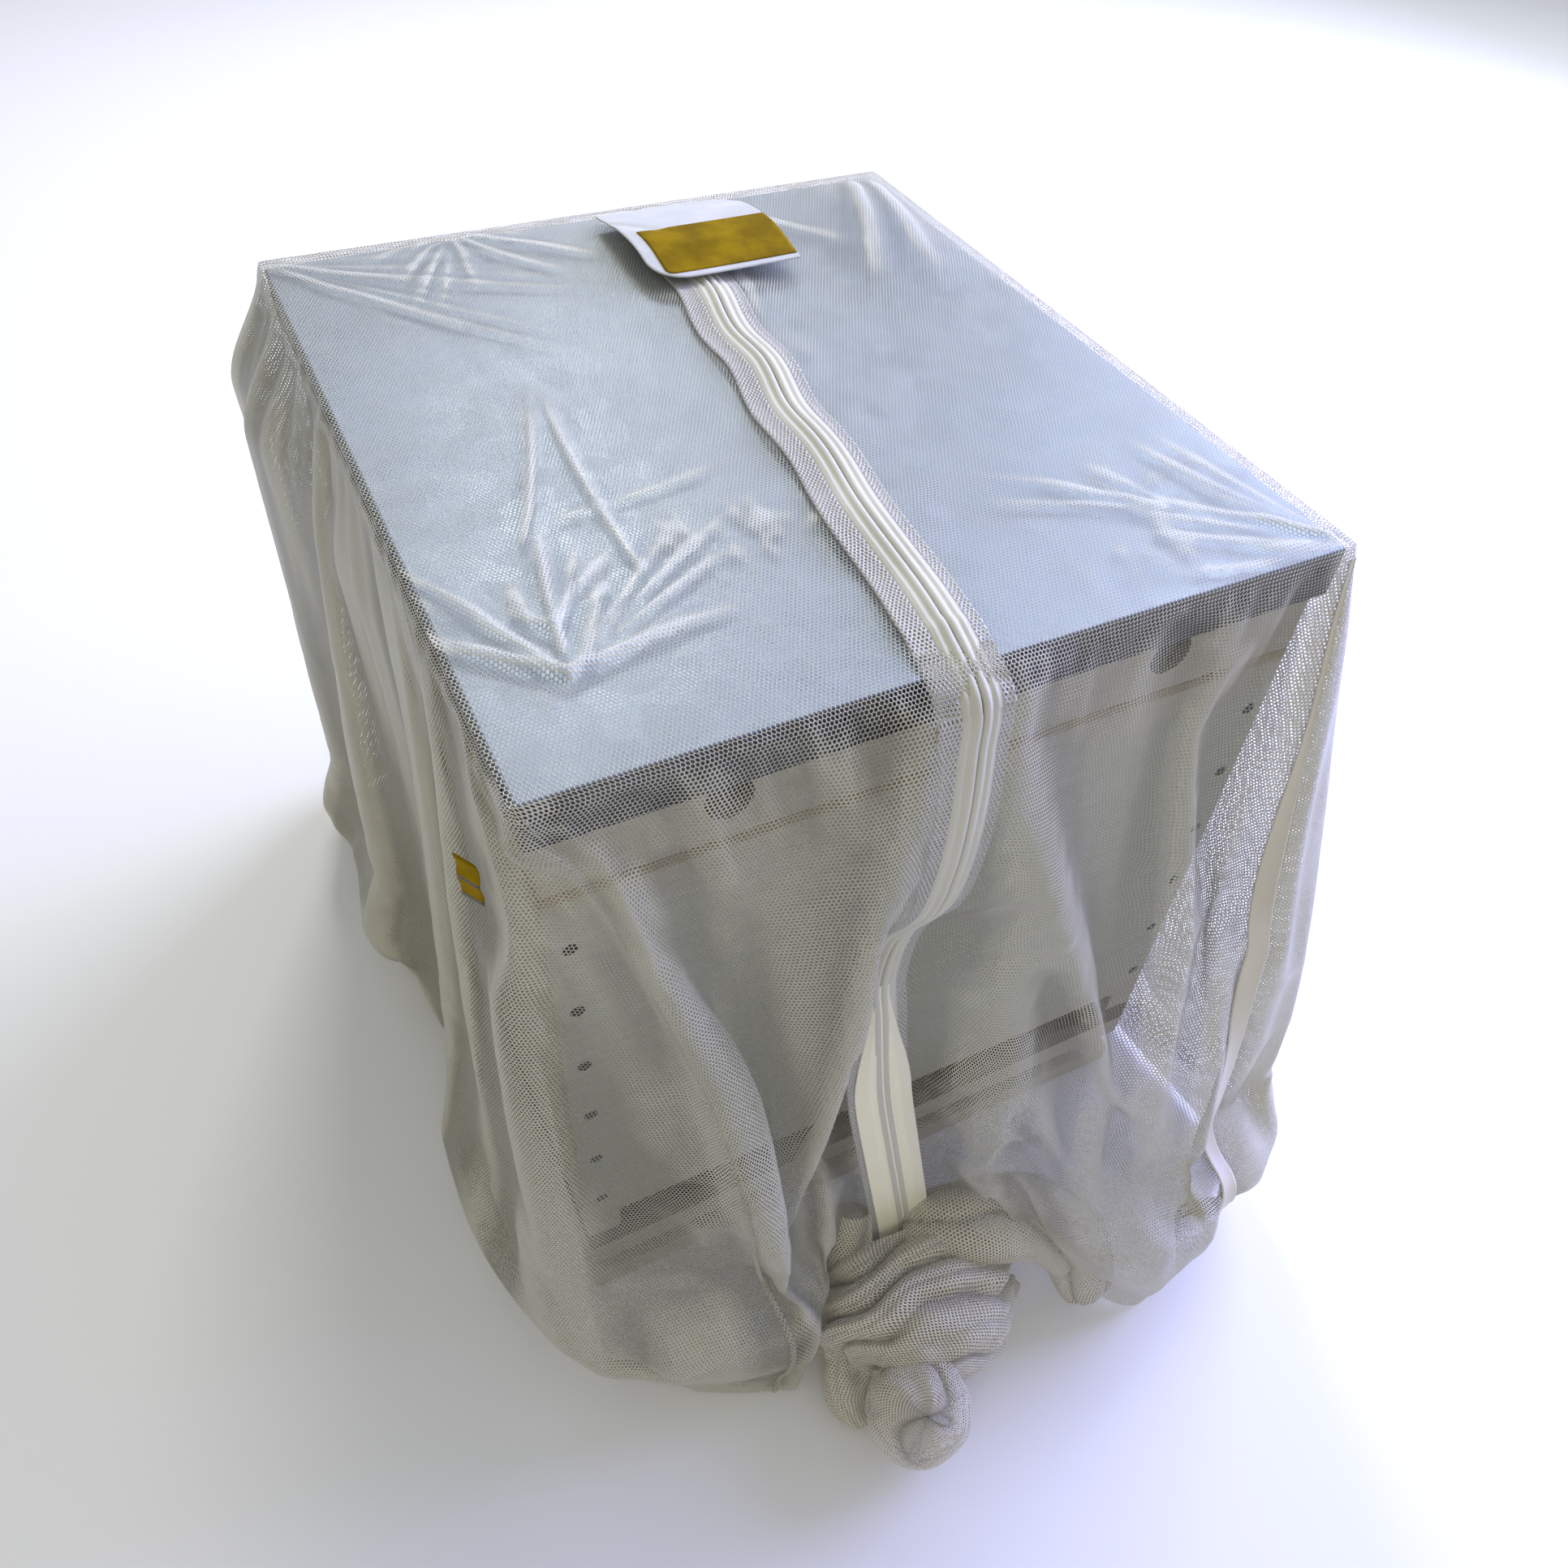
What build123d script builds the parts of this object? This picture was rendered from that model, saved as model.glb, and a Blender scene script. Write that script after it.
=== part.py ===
"""A beekeeping veil: a zipped bag of white hexagonal net, drawn over a wooden beehive.

The net lies on the hive's lid and hangs down its four sides to the floor. A zip runs over the top and down
the front, its slider parks under a white flap, and the spare net is twisted and knotted in front of the hive.
The veil lifts straight off. Under it the hive comes apart as a stack: lid, vent rim, crown board, brood box.

Millimetres, +Z up. The origin is on the floor at the middle of the hive's base board, and the entrance
faces -Y.
"""

import os
from math import atan2, cos, radians, sin

from build123d import *

# ---- the hive, from the floor up ----
LID_WIDTH, LID_DEPTH = 440, 500
HIVE_TOP = 500
SHEET = 1
SKIRT = 29
LID_OVERHANG = 5
LID_BOARD_THICK = 18
BOARD = 22
HIVE_WIDTH = LID_WIDTH - 2 * LID_OVERHANG
HIVE_DEPTH = LID_DEPTH - 2 * LID_OVERHANG
INNER_DEPTH = HIVE_DEPTH - 2 * BOARD

BASE_THICK = 17
TRAY_SLOT_TOP = 39
STAND_TOP = 60
FLOOR_TOP = 81
BOX_BOTTOM = 103
BOX_TOP = 425
CROWN_THICK = 6
RIM_BOTTOM = BOX_TOP + CROWN_THICK
RIM_TOP = HIVE_TOP - SHEET - LID_BOARD_THICK

VENT_RADIUS = 12.5
VENT_HEIGHT = 457
VENT_SPACING = 248
FEED_HOLE_LENGTH, FEED_HOLE_WIDTH = 90, 40
FINGER_SLOT_LENGTH, FINGER_SLOT_HEIGHT, FINGER_SLOT_DEPTH = 110, 22, 12
FINGER_SLOT_Z = 330
WOOD_EDGE = 1.0

# ---- nails ----
NAIL_HEAD_RADIUS, NAIL_HEAD_THICK = 4.0, 1.2
NAIL_SHANK_RADIUS, NAIL_LENGTH = 1.5, 40
NAIL_COUNT, NAIL_PITCH = 6, 52
NAIL_MIDDLE_Z = 259
LID_NAIL_HEAD_RADIUS, LID_NAIL_HEAD_THICK = 3.2, 1.2
LID_NAIL_SHANK_RADIUS, LID_NAIL_LENGTH = 1.1, 16
LID_NAIL_Z = 490
LID_NAIL_ROW = (-206, -69, 69, 206)
LID_NAIL_COLUMN = (-232, -77, 77, 232)

# ---- the veil: a four-sided net shell, wider at the hem than at the lid ----
NET = 1.2
NET_TOP = HIVE_TOP + 5
HEM_Z = 4
TOP_LEFT, TOP_RIGHT, TOP_FRONT, TOP_BACK = -223, 223, -253, 253
HEM_LEFT, HEM_RIGHT, HEM_FRONT, HEM_BACK = -266, 260, -318, 284

# ---- the zip, which runs a little askew along the top ----
ZIP_FRONT_X, ZIP_BACK_X, ZIP_BACK_Y = -10, 36, 200
ZIP_RUN = ZIP_BACK_Y - TOP_FRONT
ZIP_SKEW = atan2(ZIP_BACK_X - ZIP_FRONT_X, ZIP_RUN)
ZIP_SLOT = 11
TAPE_INNER, TAPE_OUTER, TAPE_THICK = 1.0, 17.0, 0.7
COIL_INNER, COIL_OUTER, COIL_THICK = 0.5, 3.0, 2.2
ZIP_FOOT_Z = 40
STOP_LENGTH, STOP_HALF_WIDTH, STOP_THICK = 4, 3.6, 0.9
STOP_BACK_Y = 190

# ---- the slider and its pull ----
SLIDER_Y = 165
SLIDER_LENGTH, SLIDER_HALF_WIDTH = 12, 5
LOWER_PLATE_BOTTOM, LOWER_PLATE_THICK = NET_TOP - 2.5, 2.0
UPPER_PLATE_BOTTOM, UPPER_PLATE_THICK = NET_TOP + 3.2, 1.4
FLANGE_WIDTH, FLANGE_BOTTOM = 1.5, NET_TOP + 1.0
BLADE_THICK, BLADE_LENGTH = 0.7, 4
BRIDGE_WIDTH, BRIDGE_LENGTH = 3, 9
BRIDGE_OPENING, BRIDGE_GAP, BRIDGE_BAR = 5.4, 2.8, 1.2
PULL_AXIS_Z = UPPER_PLATE_BOTTOM + UPPER_PLATE_THICK + BRIDGE_GAP / 2 + 0.1
PULL_THICK, PULL_ROD_RADIUS = 1.4, 0.8
PULL_HALF_WIDTH, PULL_ARM, PULL_LENGTH = 3.6, 1.3, 28
PULL_EYE_LENGTH, PULL_HOLE_RADIUS = 5.5, 1.6

# ---- the flap over the slider, its label, and the tag in the side seam ----
FLAP_LEFT, FLAP_WIDTH, FLAP_LENGTH, FLAP_THICK = 0, 100, 100, 1.2
FLAP_BACK_Y, FLAP_BACK_Z, FLAP_TILT = 234, NET_TOP + 2, 7
FLAP_CORNER = 14
LABEL_WIDTH, LABEL_LENGTH, LABEL_THICK = 87, 50, 0.5
LABEL_FROM_FRONT = 4
TAG_LENGTH, TAG_REACH, TAG_THICK = 28, 14, 1.2
TAG_MIDDLE_Z, TAG_Y = 425, -222
SEAM_WIDTH, SEAM_THICK = 14, 1.4

# ---- the spare net on the floor in front ----
KNOT_X, KNOT_Y, KNOT_RADIUS, KNOT_FLOOR_GAP = -63, -415, 35, 3
NECK_RADIUS, NECK_Y = 21, -381
GATHER_HALF_WIDTH, GATHER_HALF_HEIGHT = 82, 44
GATHER_X, GATHER_BACK_Y = -10, -326
ROLL_HEIGHT = 44
LEFT_ROLL = (-228, -112)
RIGHT_ROLL = (84, 226)
LEFT_ROLL_DEPTH, RIGHT_ROLL_DEPTH = 42, 82
ROLL_GAP = 3

os.makedirs("parts", exist_ok=True)


def save(shape, name):
    """Labels a finished sub-part and writes its STEP file."""
    shape.label = name
    export_step(shape, f"parts/{name}.step")


def block(width, depth, height, middle, bottom, edge=WOOD_EDGE):
    """A sawn board with eased edges, standing on the height given as bottom."""
    with BuildPart() as sawn:
        with Locations((middle[0], middle[1], bottom + height / 2)):
            Box(width, depth, height)
        chamfer(sawn.edges(), edge)
    return sawn.part


def nail(head_radius, head_thick, shank_radius, length):
    """A nail that points along -Z, with its head's outer face at Z = 0."""
    with BuildPart() as driven:
        Cylinder(head_radius, head_thick, align=(Align.CENTER, Align.CENTER, Align.MAX))
        Cylinder(shank_radius, length, align=(Align.CENTER, Align.CENTER, Align.MAX))
        fillet(driven.faces().sort_by(Axis.Z)[-1].edges(), head_thick / 3)
    return driven.part


# ================= the base, the stand on it and the hive floor =================
board_y = (HIVE_DEPTH - BOARD) / 2
board_x = (HIVE_WIDTH - BOARD) / 2

with BuildPart() as base_board:
    add(block(HIVE_WIDTH, HIVE_DEPTH, BASE_THICK, (0, 0), 0))
save(base_board.part, "base_board")

# The bar crosses the front above an open slot for an inspection tray.
with BuildPart() as stand_front_bar:
    add(block(HIVE_WIDTH, BOARD, STAND_TOP - TRAY_SLOT_TOP, (0, -board_y), TRAY_SLOT_TOP))
save(stand_front_bar.part, "stand_front_bar")

with BuildPart() as stand_back:
    add(block(HIVE_WIDTH, BOARD, STAND_TOP - BASE_THICK, (0, board_y), BASE_THICK))
save(stand_back.part, "stand_back")

with BuildPart() as stand_left:
    add(block(BOARD, INNER_DEPTH, STAND_TOP - BASE_THICK, (-board_x, 0), BASE_THICK))
save(stand_left.part, "stand_left")

with BuildPart() as stand_right:
    add(block(BOARD, INNER_DEPTH, STAND_TOP - BASE_THICK, (board_x, 0), BASE_THICK))
save(stand_right.part, "stand_right")

with BuildPart() as hive_floor:
    add(block(HIVE_WIDTH, HIVE_DEPTH, FLOOR_TOP - STAND_TOP, (0, 0), STAND_TOP))
save(hive_floor.part, "hive_floor")

# The cleats carry the brood box on three sides, and their open front is the entrance.
CLEAT_HEIGHT = BOX_BOTTOM - FLOOR_TOP
with BuildPart() as cleat_left:
    add(block(BOARD, HIVE_DEPTH - BOARD, CLEAT_HEIGHT, (-board_x, -BOARD / 2), FLOOR_TOP))
save(cleat_left.part, "cleat_left")

with BuildPart() as cleat_right:
    add(block(BOARD, HIVE_DEPTH - BOARD, CLEAT_HEIGHT, (board_x, -BOARD / 2), FLOOR_TOP))
save(cleat_right.part, "cleat_right")

with BuildPart() as cleat_back:
    add(block(HIVE_WIDTH, BOARD, CLEAT_HEIGHT, (0, board_y), FLOOR_TOP))
save(cleat_back.part, "cleat_back")


# ================= the brood box =================
BOX_HEIGHT = BOX_TOP - BOX_BOTTOM


def end_board(side):
    """The front board (side -1) or the back board (side 1), bored for the corner nails."""
    outer_face = Plane(origin=(0, side * HIVE_DEPTH / 2, NAIL_MIDDLE_Z), x_dir=(1, 0, 0), z_dir=(0, side, 0))
    with BuildPart() as ended:
        add(block(HIVE_WIDTH, BOARD, BOX_HEIGHT, (0, side * board_y), BOX_BOTTOM))
        with Locations(outer_face):
            with GridLocations(2 * board_x, NAIL_PITCH, 2, NAIL_COUNT):
                CounterBoreHole(NAIL_SHANK_RADIUS, NAIL_HEAD_RADIUS, NAIL_HEAD_THICK, BOARD)
    return ended.part


def side_board(side):
    """A side board between the ends, with pilot holes in its end grain and a finger slot outside."""
    outer = Plane(origin=(side * HIVE_WIDTH / 2, 0, FINGER_SLOT_Z), x_dir=(0, 1, 0), z_dir=(side, 0, 0))
    with BuildPart() as sided:
        add(block(BOARD, INNER_DEPTH, BOX_HEIGHT, (side * board_x, 0), BOX_BOTTOM))
        for end in (-1, 1):
            grain = Plane(
                origin=(side * board_x, end * INNER_DEPTH / 2, NAIL_MIDDLE_Z),
                x_dir=(1, 0, 0),
                z_dir=(0, end, 0),
            )
            with Locations(grain):
                with GridLocations(0, NAIL_PITCH, 1, NAIL_COUNT):
                    Hole(NAIL_SHANK_RADIUS, NAIL_LENGTH - BOARD)
        with BuildSketch(outer):
            SlotOverall(FINGER_SLOT_LENGTH, FINGER_SLOT_HEIGHT)
        extrude(amount=-FINGER_SLOT_DEPTH, mode=Mode.SUBTRACT)
    return sided.part


with BuildPart() as box_front:
    add(end_board(-1))
save(box_front.part, "box_front")

with BuildPart() as box_back:
    add(end_board(1))
save(box_back.part, "box_back")

with BuildPart() as box_left:
    add(side_board(-1))
save(box_left.part, "box_left")

with BuildPart() as box_right:
    add(side_board(1))
save(box_right.part, "box_right")

with BuildPart() as box_nails:
    corner_nail = nail(NAIL_HEAD_RADIUS, NAIL_HEAD_THICK, NAIL_SHANK_RADIUS, NAIL_LENGTH)
    for end in (-1, 1):
        face = Plane(origin=(0, end * HIVE_DEPTH / 2, NAIL_MIDDLE_Z), x_dir=(1, 0, 0), z_dir=(0, end, 0))
        with Locations(face):
            with GridLocations(2 * board_x, NAIL_PITCH, 2, NAIL_COUNT):
                add(corner_nail)
save(box_nails.part, "box_nails")


# ================= the crown board and the vent rim =================
with BuildPart() as crown_board:
    add(block(HIVE_WIDTH, HIVE_DEPTH, CROWN_THICK, (0, 0), BOX_TOP, edge=0.6))
    with BuildSketch(Plane.XY.offset(RIM_BOTTOM)):
        SlotOverall(FEED_HOLE_LENGTH, FEED_HOLE_WIDTH, rotation=90)
    extrude(amount=-CROWN_THICK, mode=Mode.SUBTRACT)
save(crown_board.part, "crown_board")

RIM_HEIGHT = RIM_TOP - RIM_BOTTOM
with BuildPart() as rim_front:
    add(block(HIVE_WIDTH, BOARD, RIM_HEIGHT, (0, -board_y), RIM_BOTTOM))
    with Locations(Plane(origin=(0, -HIVE_DEPTH / 2, VENT_HEIGHT), x_dir=(1, 0, 0), z_dir=(0, -1, 0))):
        with GridLocations(VENT_SPACING, 0, 2, 1):
            Hole(VENT_RADIUS, BOARD)
save(rim_front.part, "rim_front")

with BuildPart() as rim_back:
    add(block(HIVE_WIDTH, BOARD, RIM_HEIGHT, (0, board_y), RIM_BOTTOM))
save(rim_back.part, "rim_back")

with BuildPart() as rim_left:
    add(block(BOARD, INNER_DEPTH, RIM_HEIGHT, (-board_x, 0), RIM_BOTTOM))
save(rim_left.part, "rim_left")

with BuildPart() as rim_right:
    add(block(BOARD, INNER_DEPTH, RIM_HEIGHT, (board_x, 0), RIM_BOTTOM))
save(rim_right.part, "rim_right")


# ================= the lid =================
def lid_nail_planes():
    """One plane per lid nail, on the lip's outer face and facing outwards."""
    for end in (-1, 1):
        for x in LID_NAIL_ROW:
            yield Plane(origin=(x, end * LID_DEPTH / 2, LID_NAIL_Z), z_dir=(0, end, 0))
        for y in LID_NAIL_COLUMN:
            yield Plane(origin=(end * LID_WIDTH / 2, y, LID_NAIL_Z), z_dir=(end, 0, 0))


with BuildPart() as lid_sheet:
    with BuildSketch(Plane.XY.offset(HIVE_TOP - SKIRT)):
        RectangleRounded(LID_WIDTH, LID_DEPTH, 2.5)
    extrude(amount=SKIRT)
    fillet(lid_sheet.faces().sort_by(Axis.Z)[-1].edges(), 1.5)
    with BuildSketch(Plane.XY.offset(HIVE_TOP - SKIRT)):
        RectangleRounded(LID_WIDTH - 2 * SHEET, LID_DEPTH - 2 * SHEET, 1.5)
    extrude(amount=SKIRT - SHEET, mode=Mode.SUBTRACT)
    with Locations(*lid_nail_planes()):
        Hole(LID_NAIL_SHANK_RADIUS, LID_NAIL_LENGTH)
save(lid_sheet.part, "lid_sheet")

with BuildPart() as lid_board:
    add(
        block(
            LID_WIDTH - 2 * SHEET - 0.4,
            LID_DEPTH - 2 * SHEET - 0.4,
            LID_BOARD_THICK,
            (0, 0),
            RIM_TOP,
        )
    )
    with Locations(*lid_nail_planes()):
        Hole(LID_NAIL_SHANK_RADIUS, LID_NAIL_LENGTH)
save(lid_board.part, "lid_board")

with BuildPart() as lid_nails:
    lid_nail = nail(
        LID_NAIL_HEAD_RADIUS,
        LID_NAIL_HEAD_THICK,
        LID_NAIL_SHANK_RADIUS,
        LID_NAIL_LENGTH + LID_NAIL_HEAD_THICK,
    )
    with Locations(*(face.offset(LID_NAIL_HEAD_THICK) for face in lid_nail_planes())):
        add(lid_nail)
save(lid_nails.part, "lid_nails")


# ================= the net panels =================
def outline(level, inset):
    """The net's left, right, front and back at the lid (level 1) or the hem (level 0), inset by so much."""
    left = HEM_LEFT + (TOP_LEFT - HEM_LEFT) * level + inset
    right = HEM_RIGHT + (TOP_RIGHT - HEM_RIGHT) * level - inset
    front = HEM_FRONT + (TOP_FRONT - HEM_FRONT) * level + inset
    back = HEM_BACK + (TOP_BACK - HEM_BACK) * level - inset
    return left, right, front, back


def hanging_panel(quad_at):
    """A thin panel from the hem up to the top, lofted between the quads that quad_at gives for each level."""
    with BuildPart() as hung:
        for level, height in ((0, HEM_Z), (1, NET_TOP - NET)):
            with BuildSketch(Plane.XY.offset(height)):
                with BuildLine():
                    Polyline(*quad_at(level), close=True)
                make_face()
        loft(ruled=True)
    return hung.part


def side_quad(side):
    """Cross-section of the left (-1) or right (1) side panel, mitred at its ends."""

    def quad(level):
        outer, inner = outline(level, 0), outline(level, NET)
        edge = 0 if side < 0 else 1
        return [
            (outer[edge], outer[2]),
            (outer[edge], outer[3]),
            (inner[edge], inner[3]),
            (inner[edge], inner[2]),
        ]

    return quad


def back_quad(level):
    """Cross-section of the back panel, mitred at its ends."""
    outer, inner = outline(level, 0), outline(level, NET)
    return [
        (outer[0], outer[3]),
        (outer[1], outer[3]),
        (inner[1], inner[3]),
        (inner[0], inner[3]),
    ]


def front_quad(side):
    """Cross-section of the front panel left (-1) or right (1) of the zip, mitred at the outer end."""

    def quad(level):
        outer, inner = outline(level, 0), outline(level, NET)
        edge = 0 if side < 0 else 1
        slot_x = ZIP_FRONT_X + side * ZIP_SLOT
        return [
            (outer[edge], outer[2]),
            (slot_x, outer[2]),
            (slot_x, inner[2]),
            (inner[edge], inner[2]),
        ]

    return quad


def top_panel(side):
    """The net on the lid, left (-1) or right (1) of the zip; behind the zip the two halves meet in a seam."""
    edge = TOP_LEFT if side < 0 else TOP_RIGHT
    with BuildPart() as laid:
        with BuildSketch(Plane.XY.offset(NET_TOP - NET)):
            with BuildLine():
                Polyline(
                    (edge, TOP_FRONT),
                    (ZIP_FRONT_X + side * ZIP_SLOT, TOP_FRONT),
                    (ZIP_BACK_X + side * ZIP_SLOT, ZIP_BACK_Y),
                    (ZIP_BACK_X, ZIP_BACK_Y),
                    (ZIP_BACK_X, TOP_BACK),
                    (edge, TOP_BACK),
                    close=True,
                )
            make_face()
        extrude(amount=NET)
    return laid.part


with BuildPart() as net_top_left:
    add(top_panel(-1))
save(net_top_left.part, "net_top_left")

with BuildPart() as net_top_right:
    add(top_panel(1))
save(net_top_right.part, "net_top_right")

with BuildPart() as net_side_left:
    add(hanging_panel(side_quad(-1)))
save(net_side_left.part, "net_side_left")

with BuildPart() as net_side_right:
    add(hanging_panel(side_quad(1)))
save(net_side_right.part, "net_side_right")

with BuildPart() as net_back:
    add(hanging_panel(back_quad))
save(net_back.part, "net_back")

with BuildPart() as net_front_left:
    add(hanging_panel(front_quad(-1)))
save(net_front_left.part, "net_front_left")

with BuildPart() as net_front_right:
    add(hanging_panel(front_quad(1)))
save(net_front_right.part, "net_front_right")


# ================= the zip =================
LEAN = atan2(TOP_FRONT - HEM_FRONT, NET_TOP - HEM_Z)
FRONT_FACE = Plane(
    origin=(ZIP_FRONT_X, TOP_FRONT, NET_TOP),
    x_dir=(1, 0, 0),
    z_dir=(0, -cos(LEAN), sin(LEAN)),
)


def front_y(height, lift):
    """Y of the leaning front at this height, for a surface lifted off the net by so much."""
    return TOP_FRONT - (lift + (NET_TOP - height) * sin(LEAN)) / cos(LEAN)


def zip_strip(near, far, lift, thick):
    """A strip of the zip between two distances from its centre line, over the top and down the front."""
    low, high = NET_TOP + lift, NET_TOP + lift + thick
    with BuildPart() as strip:
        with BuildSketch(Plane.YZ.offset(TOP_LEFT)):
            with BuildLine():
                Polyline(
                    (ZIP_BACK_Y, low),
                    (ZIP_BACK_Y, high),
                    (front_y(high, lift + thick), high),
                    (front_y(ZIP_FOOT_Z, lift + thick), ZIP_FOOT_Z),
                    (front_y(ZIP_FOOT_Z, lift), ZIP_FOOT_Z),
                    (front_y(low, lift), low),
                    close=True,
                )
            make_face()
        extrude(amount=TOP_RIGHT - TOP_LEFT)
        with BuildSketch(Plane.XY):
            with BuildLine():
                Polyline(
                    (ZIP_FRONT_X + near, HEM_FRONT - SEAM_WIDTH),
                    (ZIP_FRONT_X + far, HEM_FRONT - SEAM_WIDTH),
                    (ZIP_FRONT_X + far, TOP_FRONT),
                    (ZIP_BACK_X + far, ZIP_BACK_Y + 1),
                    (ZIP_BACK_X + near, ZIP_BACK_Y + 1),
                    (ZIP_FRONT_X + near, TOP_FRONT),
                    close=True,
                )
            make_face()
        extrude(amount=NET_TOP + SEAM_WIDTH, mode=Mode.INTERSECT)
    return strip.part


with BuildPart() as zip_tape_left:
    add(zip_strip(-TAPE_OUTER, -TAPE_INNER, 0, TAPE_THICK))
save(zip_tape_left.part, "zip_tape_left")

with BuildPart() as zip_tape_right:
    add(zip_strip(TAPE_INNER, TAPE_OUTER, 0, TAPE_THICK))
save(zip_tape_right.part, "zip_tape_right")

with BuildPart() as zip_coil_left:
    add(zip_strip(-COIL_OUTER, -COIL_INNER, TAPE_THICK, COIL_THICK))
save(zip_coil_left.part, "zip_coil_left")

with BuildPart() as zip_coil_right:
    add(zip_strip(COIL_INNER, COIL_OUTER, TAPE_THICK, COIL_THICK))
save(zip_coil_right.part, "zip_coil_right")


def along_zip(y):
    """The zip's centre line at this Y on the top."""
    return ZIP_FRONT_X + (y - TOP_FRONT) * (ZIP_BACK_X - ZIP_FRONT_X) / ZIP_RUN


def zip_plane(y, z):
    """A plane on the zip's centre line whose Y axis runs back along the zip."""
    return Plane(origin=(along_zip(y), y, z), x_dir=(cos(ZIP_SKEW), -sin(ZIP_SKEW), 0), z_dir=(0, 0, 1))


COIL_TOP = TAPE_THICK + COIL_THICK
with BuildPart() as zip_stop_back:
    with BuildSketch(zip_plane(STOP_BACK_Y, NET_TOP + COIL_TOP)):
        Rectangle(2 * STOP_HALF_WIDTH, STOP_LENGTH)
    extrude(amount=STOP_THICK)
save(zip_stop_back.part, "zip_stop_back")

with BuildPart() as zip_stop_foot:
    with BuildSketch(FRONT_FACE.offset(COIL_TOP)):
        with Locations((0, 2 * STOP_LENGTH - (NET_TOP - ZIP_FOOT_Z) / cos(LEAN))):
            Rectangle(2 * STOP_HALF_WIDTH, STOP_LENGTH)
    extrude(amount=STOP_THICK)
save(zip_stop_foot.part, "zip_stop_foot")


# ================= the slider and its pull =================
with BuildPart() as zip_slider:
    with BuildSketch(zip_plane(SLIDER_Y, LOWER_PLATE_BOTTOM)):
        RectangleRounded(2 * SLIDER_HALF_WIDTH, SLIDER_LENGTH, 2)
    extrude(amount=LOWER_PLATE_THICK)
    with BuildSketch(zip_plane(SLIDER_Y, UPPER_PLATE_BOTTOM)):
        RectangleRounded(2 * SLIDER_HALF_WIDTH, SLIDER_LENGTH, 2)
    extrude(amount=UPPER_PLATE_THICK)
    fillet(zip_slider.faces().sort_by(Axis.Z)[-1].edges(), 0.5)
    with BuildSketch(zip_plane(SLIDER_Y, FLANGE_BOTTOM)):
        with GridLocations(2 * SLIDER_HALF_WIDTH - FLANGE_WIDTH, 0, 2, 1):
            Rectangle(FLANGE_WIDTH, SLIDER_LENGTH - 4)
    extrude(amount=UPPER_PLATE_BOTTOM - FLANGE_BOTTOM)
    with BuildSketch(zip_plane(SLIDER_Y, LOWER_PLATE_BOTTOM + LOWER_PLATE_THICK)):
        with Locations((0, (SLIDER_LENGTH - BLADE_LENGTH) / 2 - 1)):
            Rectangle(BLADE_THICK, BLADE_LENGTH)
    extrude(amount=UPPER_PLATE_BOTTOM - LOWER_PLATE_BOTTOM - LOWER_PLATE_THICK)
    with BuildSketch(zip_plane(SLIDER_Y, UPPER_PLATE_BOTTOM + UPPER_PLATE_THICK)):
        Rectangle(BRIDGE_WIDTH, BRIDGE_LENGTH)
        Rectangle(BRIDGE_WIDTH, BRIDGE_OPENING, mode=Mode.SUBTRACT)
    extrude(amount=BRIDGE_GAP)
    with BuildSketch(zip_plane(SLIDER_Y, UPPER_PLATE_BOTTOM + UPPER_PLATE_THICK + BRIDGE_GAP)):
        Rectangle(BRIDGE_WIDTH, BRIDGE_LENGTH)
    extrude(amount=BRIDGE_BAR)
    fillet(zip_slider.faces().sort_by(Axis.Z)[-1].edges(), 0.4)
save(zip_slider.part, "zip_slider")

with BuildPart() as zip_pull:
    with BuildSketch(zip_plane(SLIDER_Y, PULL_AXIS_Z - PULL_THICK / 2)):
        with Locations((0, -PULL_LENGTH / 2 + PULL_ROD_RADIUS)):
            RectangleRounded(2 * PULL_HALF_WIDTH, PULL_LENGTH, 2)
        with Locations((0, -PULL_EYE_LENGTH / 2)):
            Rectangle(2 * (PULL_HALF_WIDTH - PULL_ARM), PULL_EYE_LENGTH + 6, mode=Mode.SUBTRACT)
        with Locations((0, -PULL_LENGTH + 6)):
            Circle(PULL_HOLE_RADIUS, mode=Mode.SUBTRACT)
    extrude(amount=PULL_THICK)
    chamfer(zip_pull.faces().sort_by(Axis.Z)[-1].outer_wire().edges(), 0.3)
    rod_plane = Plane(
        origin=(along_zip(SLIDER_Y), SLIDER_Y, PULL_AXIS_Z),
        x_dir=(0, 0, 1),
        z_dir=(cos(ZIP_SKEW), -sin(ZIP_SKEW), 0),
    )
    with BuildSketch(rod_plane):
        Circle(PULL_ROD_RADIUS)
    extrude(amount=PULL_HALF_WIDTH - PULL_ARM / 2, both=True)
save(zip_pull.part, "zip_pull")


# ================= the flap, its label, the seams and the side tag =================
tilt = radians(FLAP_TILT)
FLAP_FACE = Plane(
    origin=(FLAP_LEFT + FLAP_WIDTH / 2, FLAP_BACK_Y, FLAP_BACK_Z),
    x_dir=(1, 0, 0),
    z_dir=(0, sin(tilt), cos(tilt)),
)
with BuildPart() as slider_flap:
    with BuildSketch(FLAP_FACE) as flap_outline:
        with Locations((0, -FLAP_LENGTH / 2)):
            Rectangle(FLAP_WIDTH, FLAP_LENGTH)
        fillet(flap_outline.vertices().group_by(Axis.Y)[0], FLAP_CORNER)
    extrude(amount=FLAP_THICK)
save(slider_flap.part, "slider_flap")

with BuildPart() as flap_label:
    with BuildSketch(FLAP_FACE.offset(FLAP_THICK)):
        with Locations((0, LABEL_FROM_FRONT + LABEL_LENGTH / 2 - FLAP_LENGTH)):
            RectangleRounded(LABEL_WIDTH, LABEL_LENGTH, 8)
    extrude(amount=LABEL_THICK)
save(flap_label.part, "flap_label")


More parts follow.
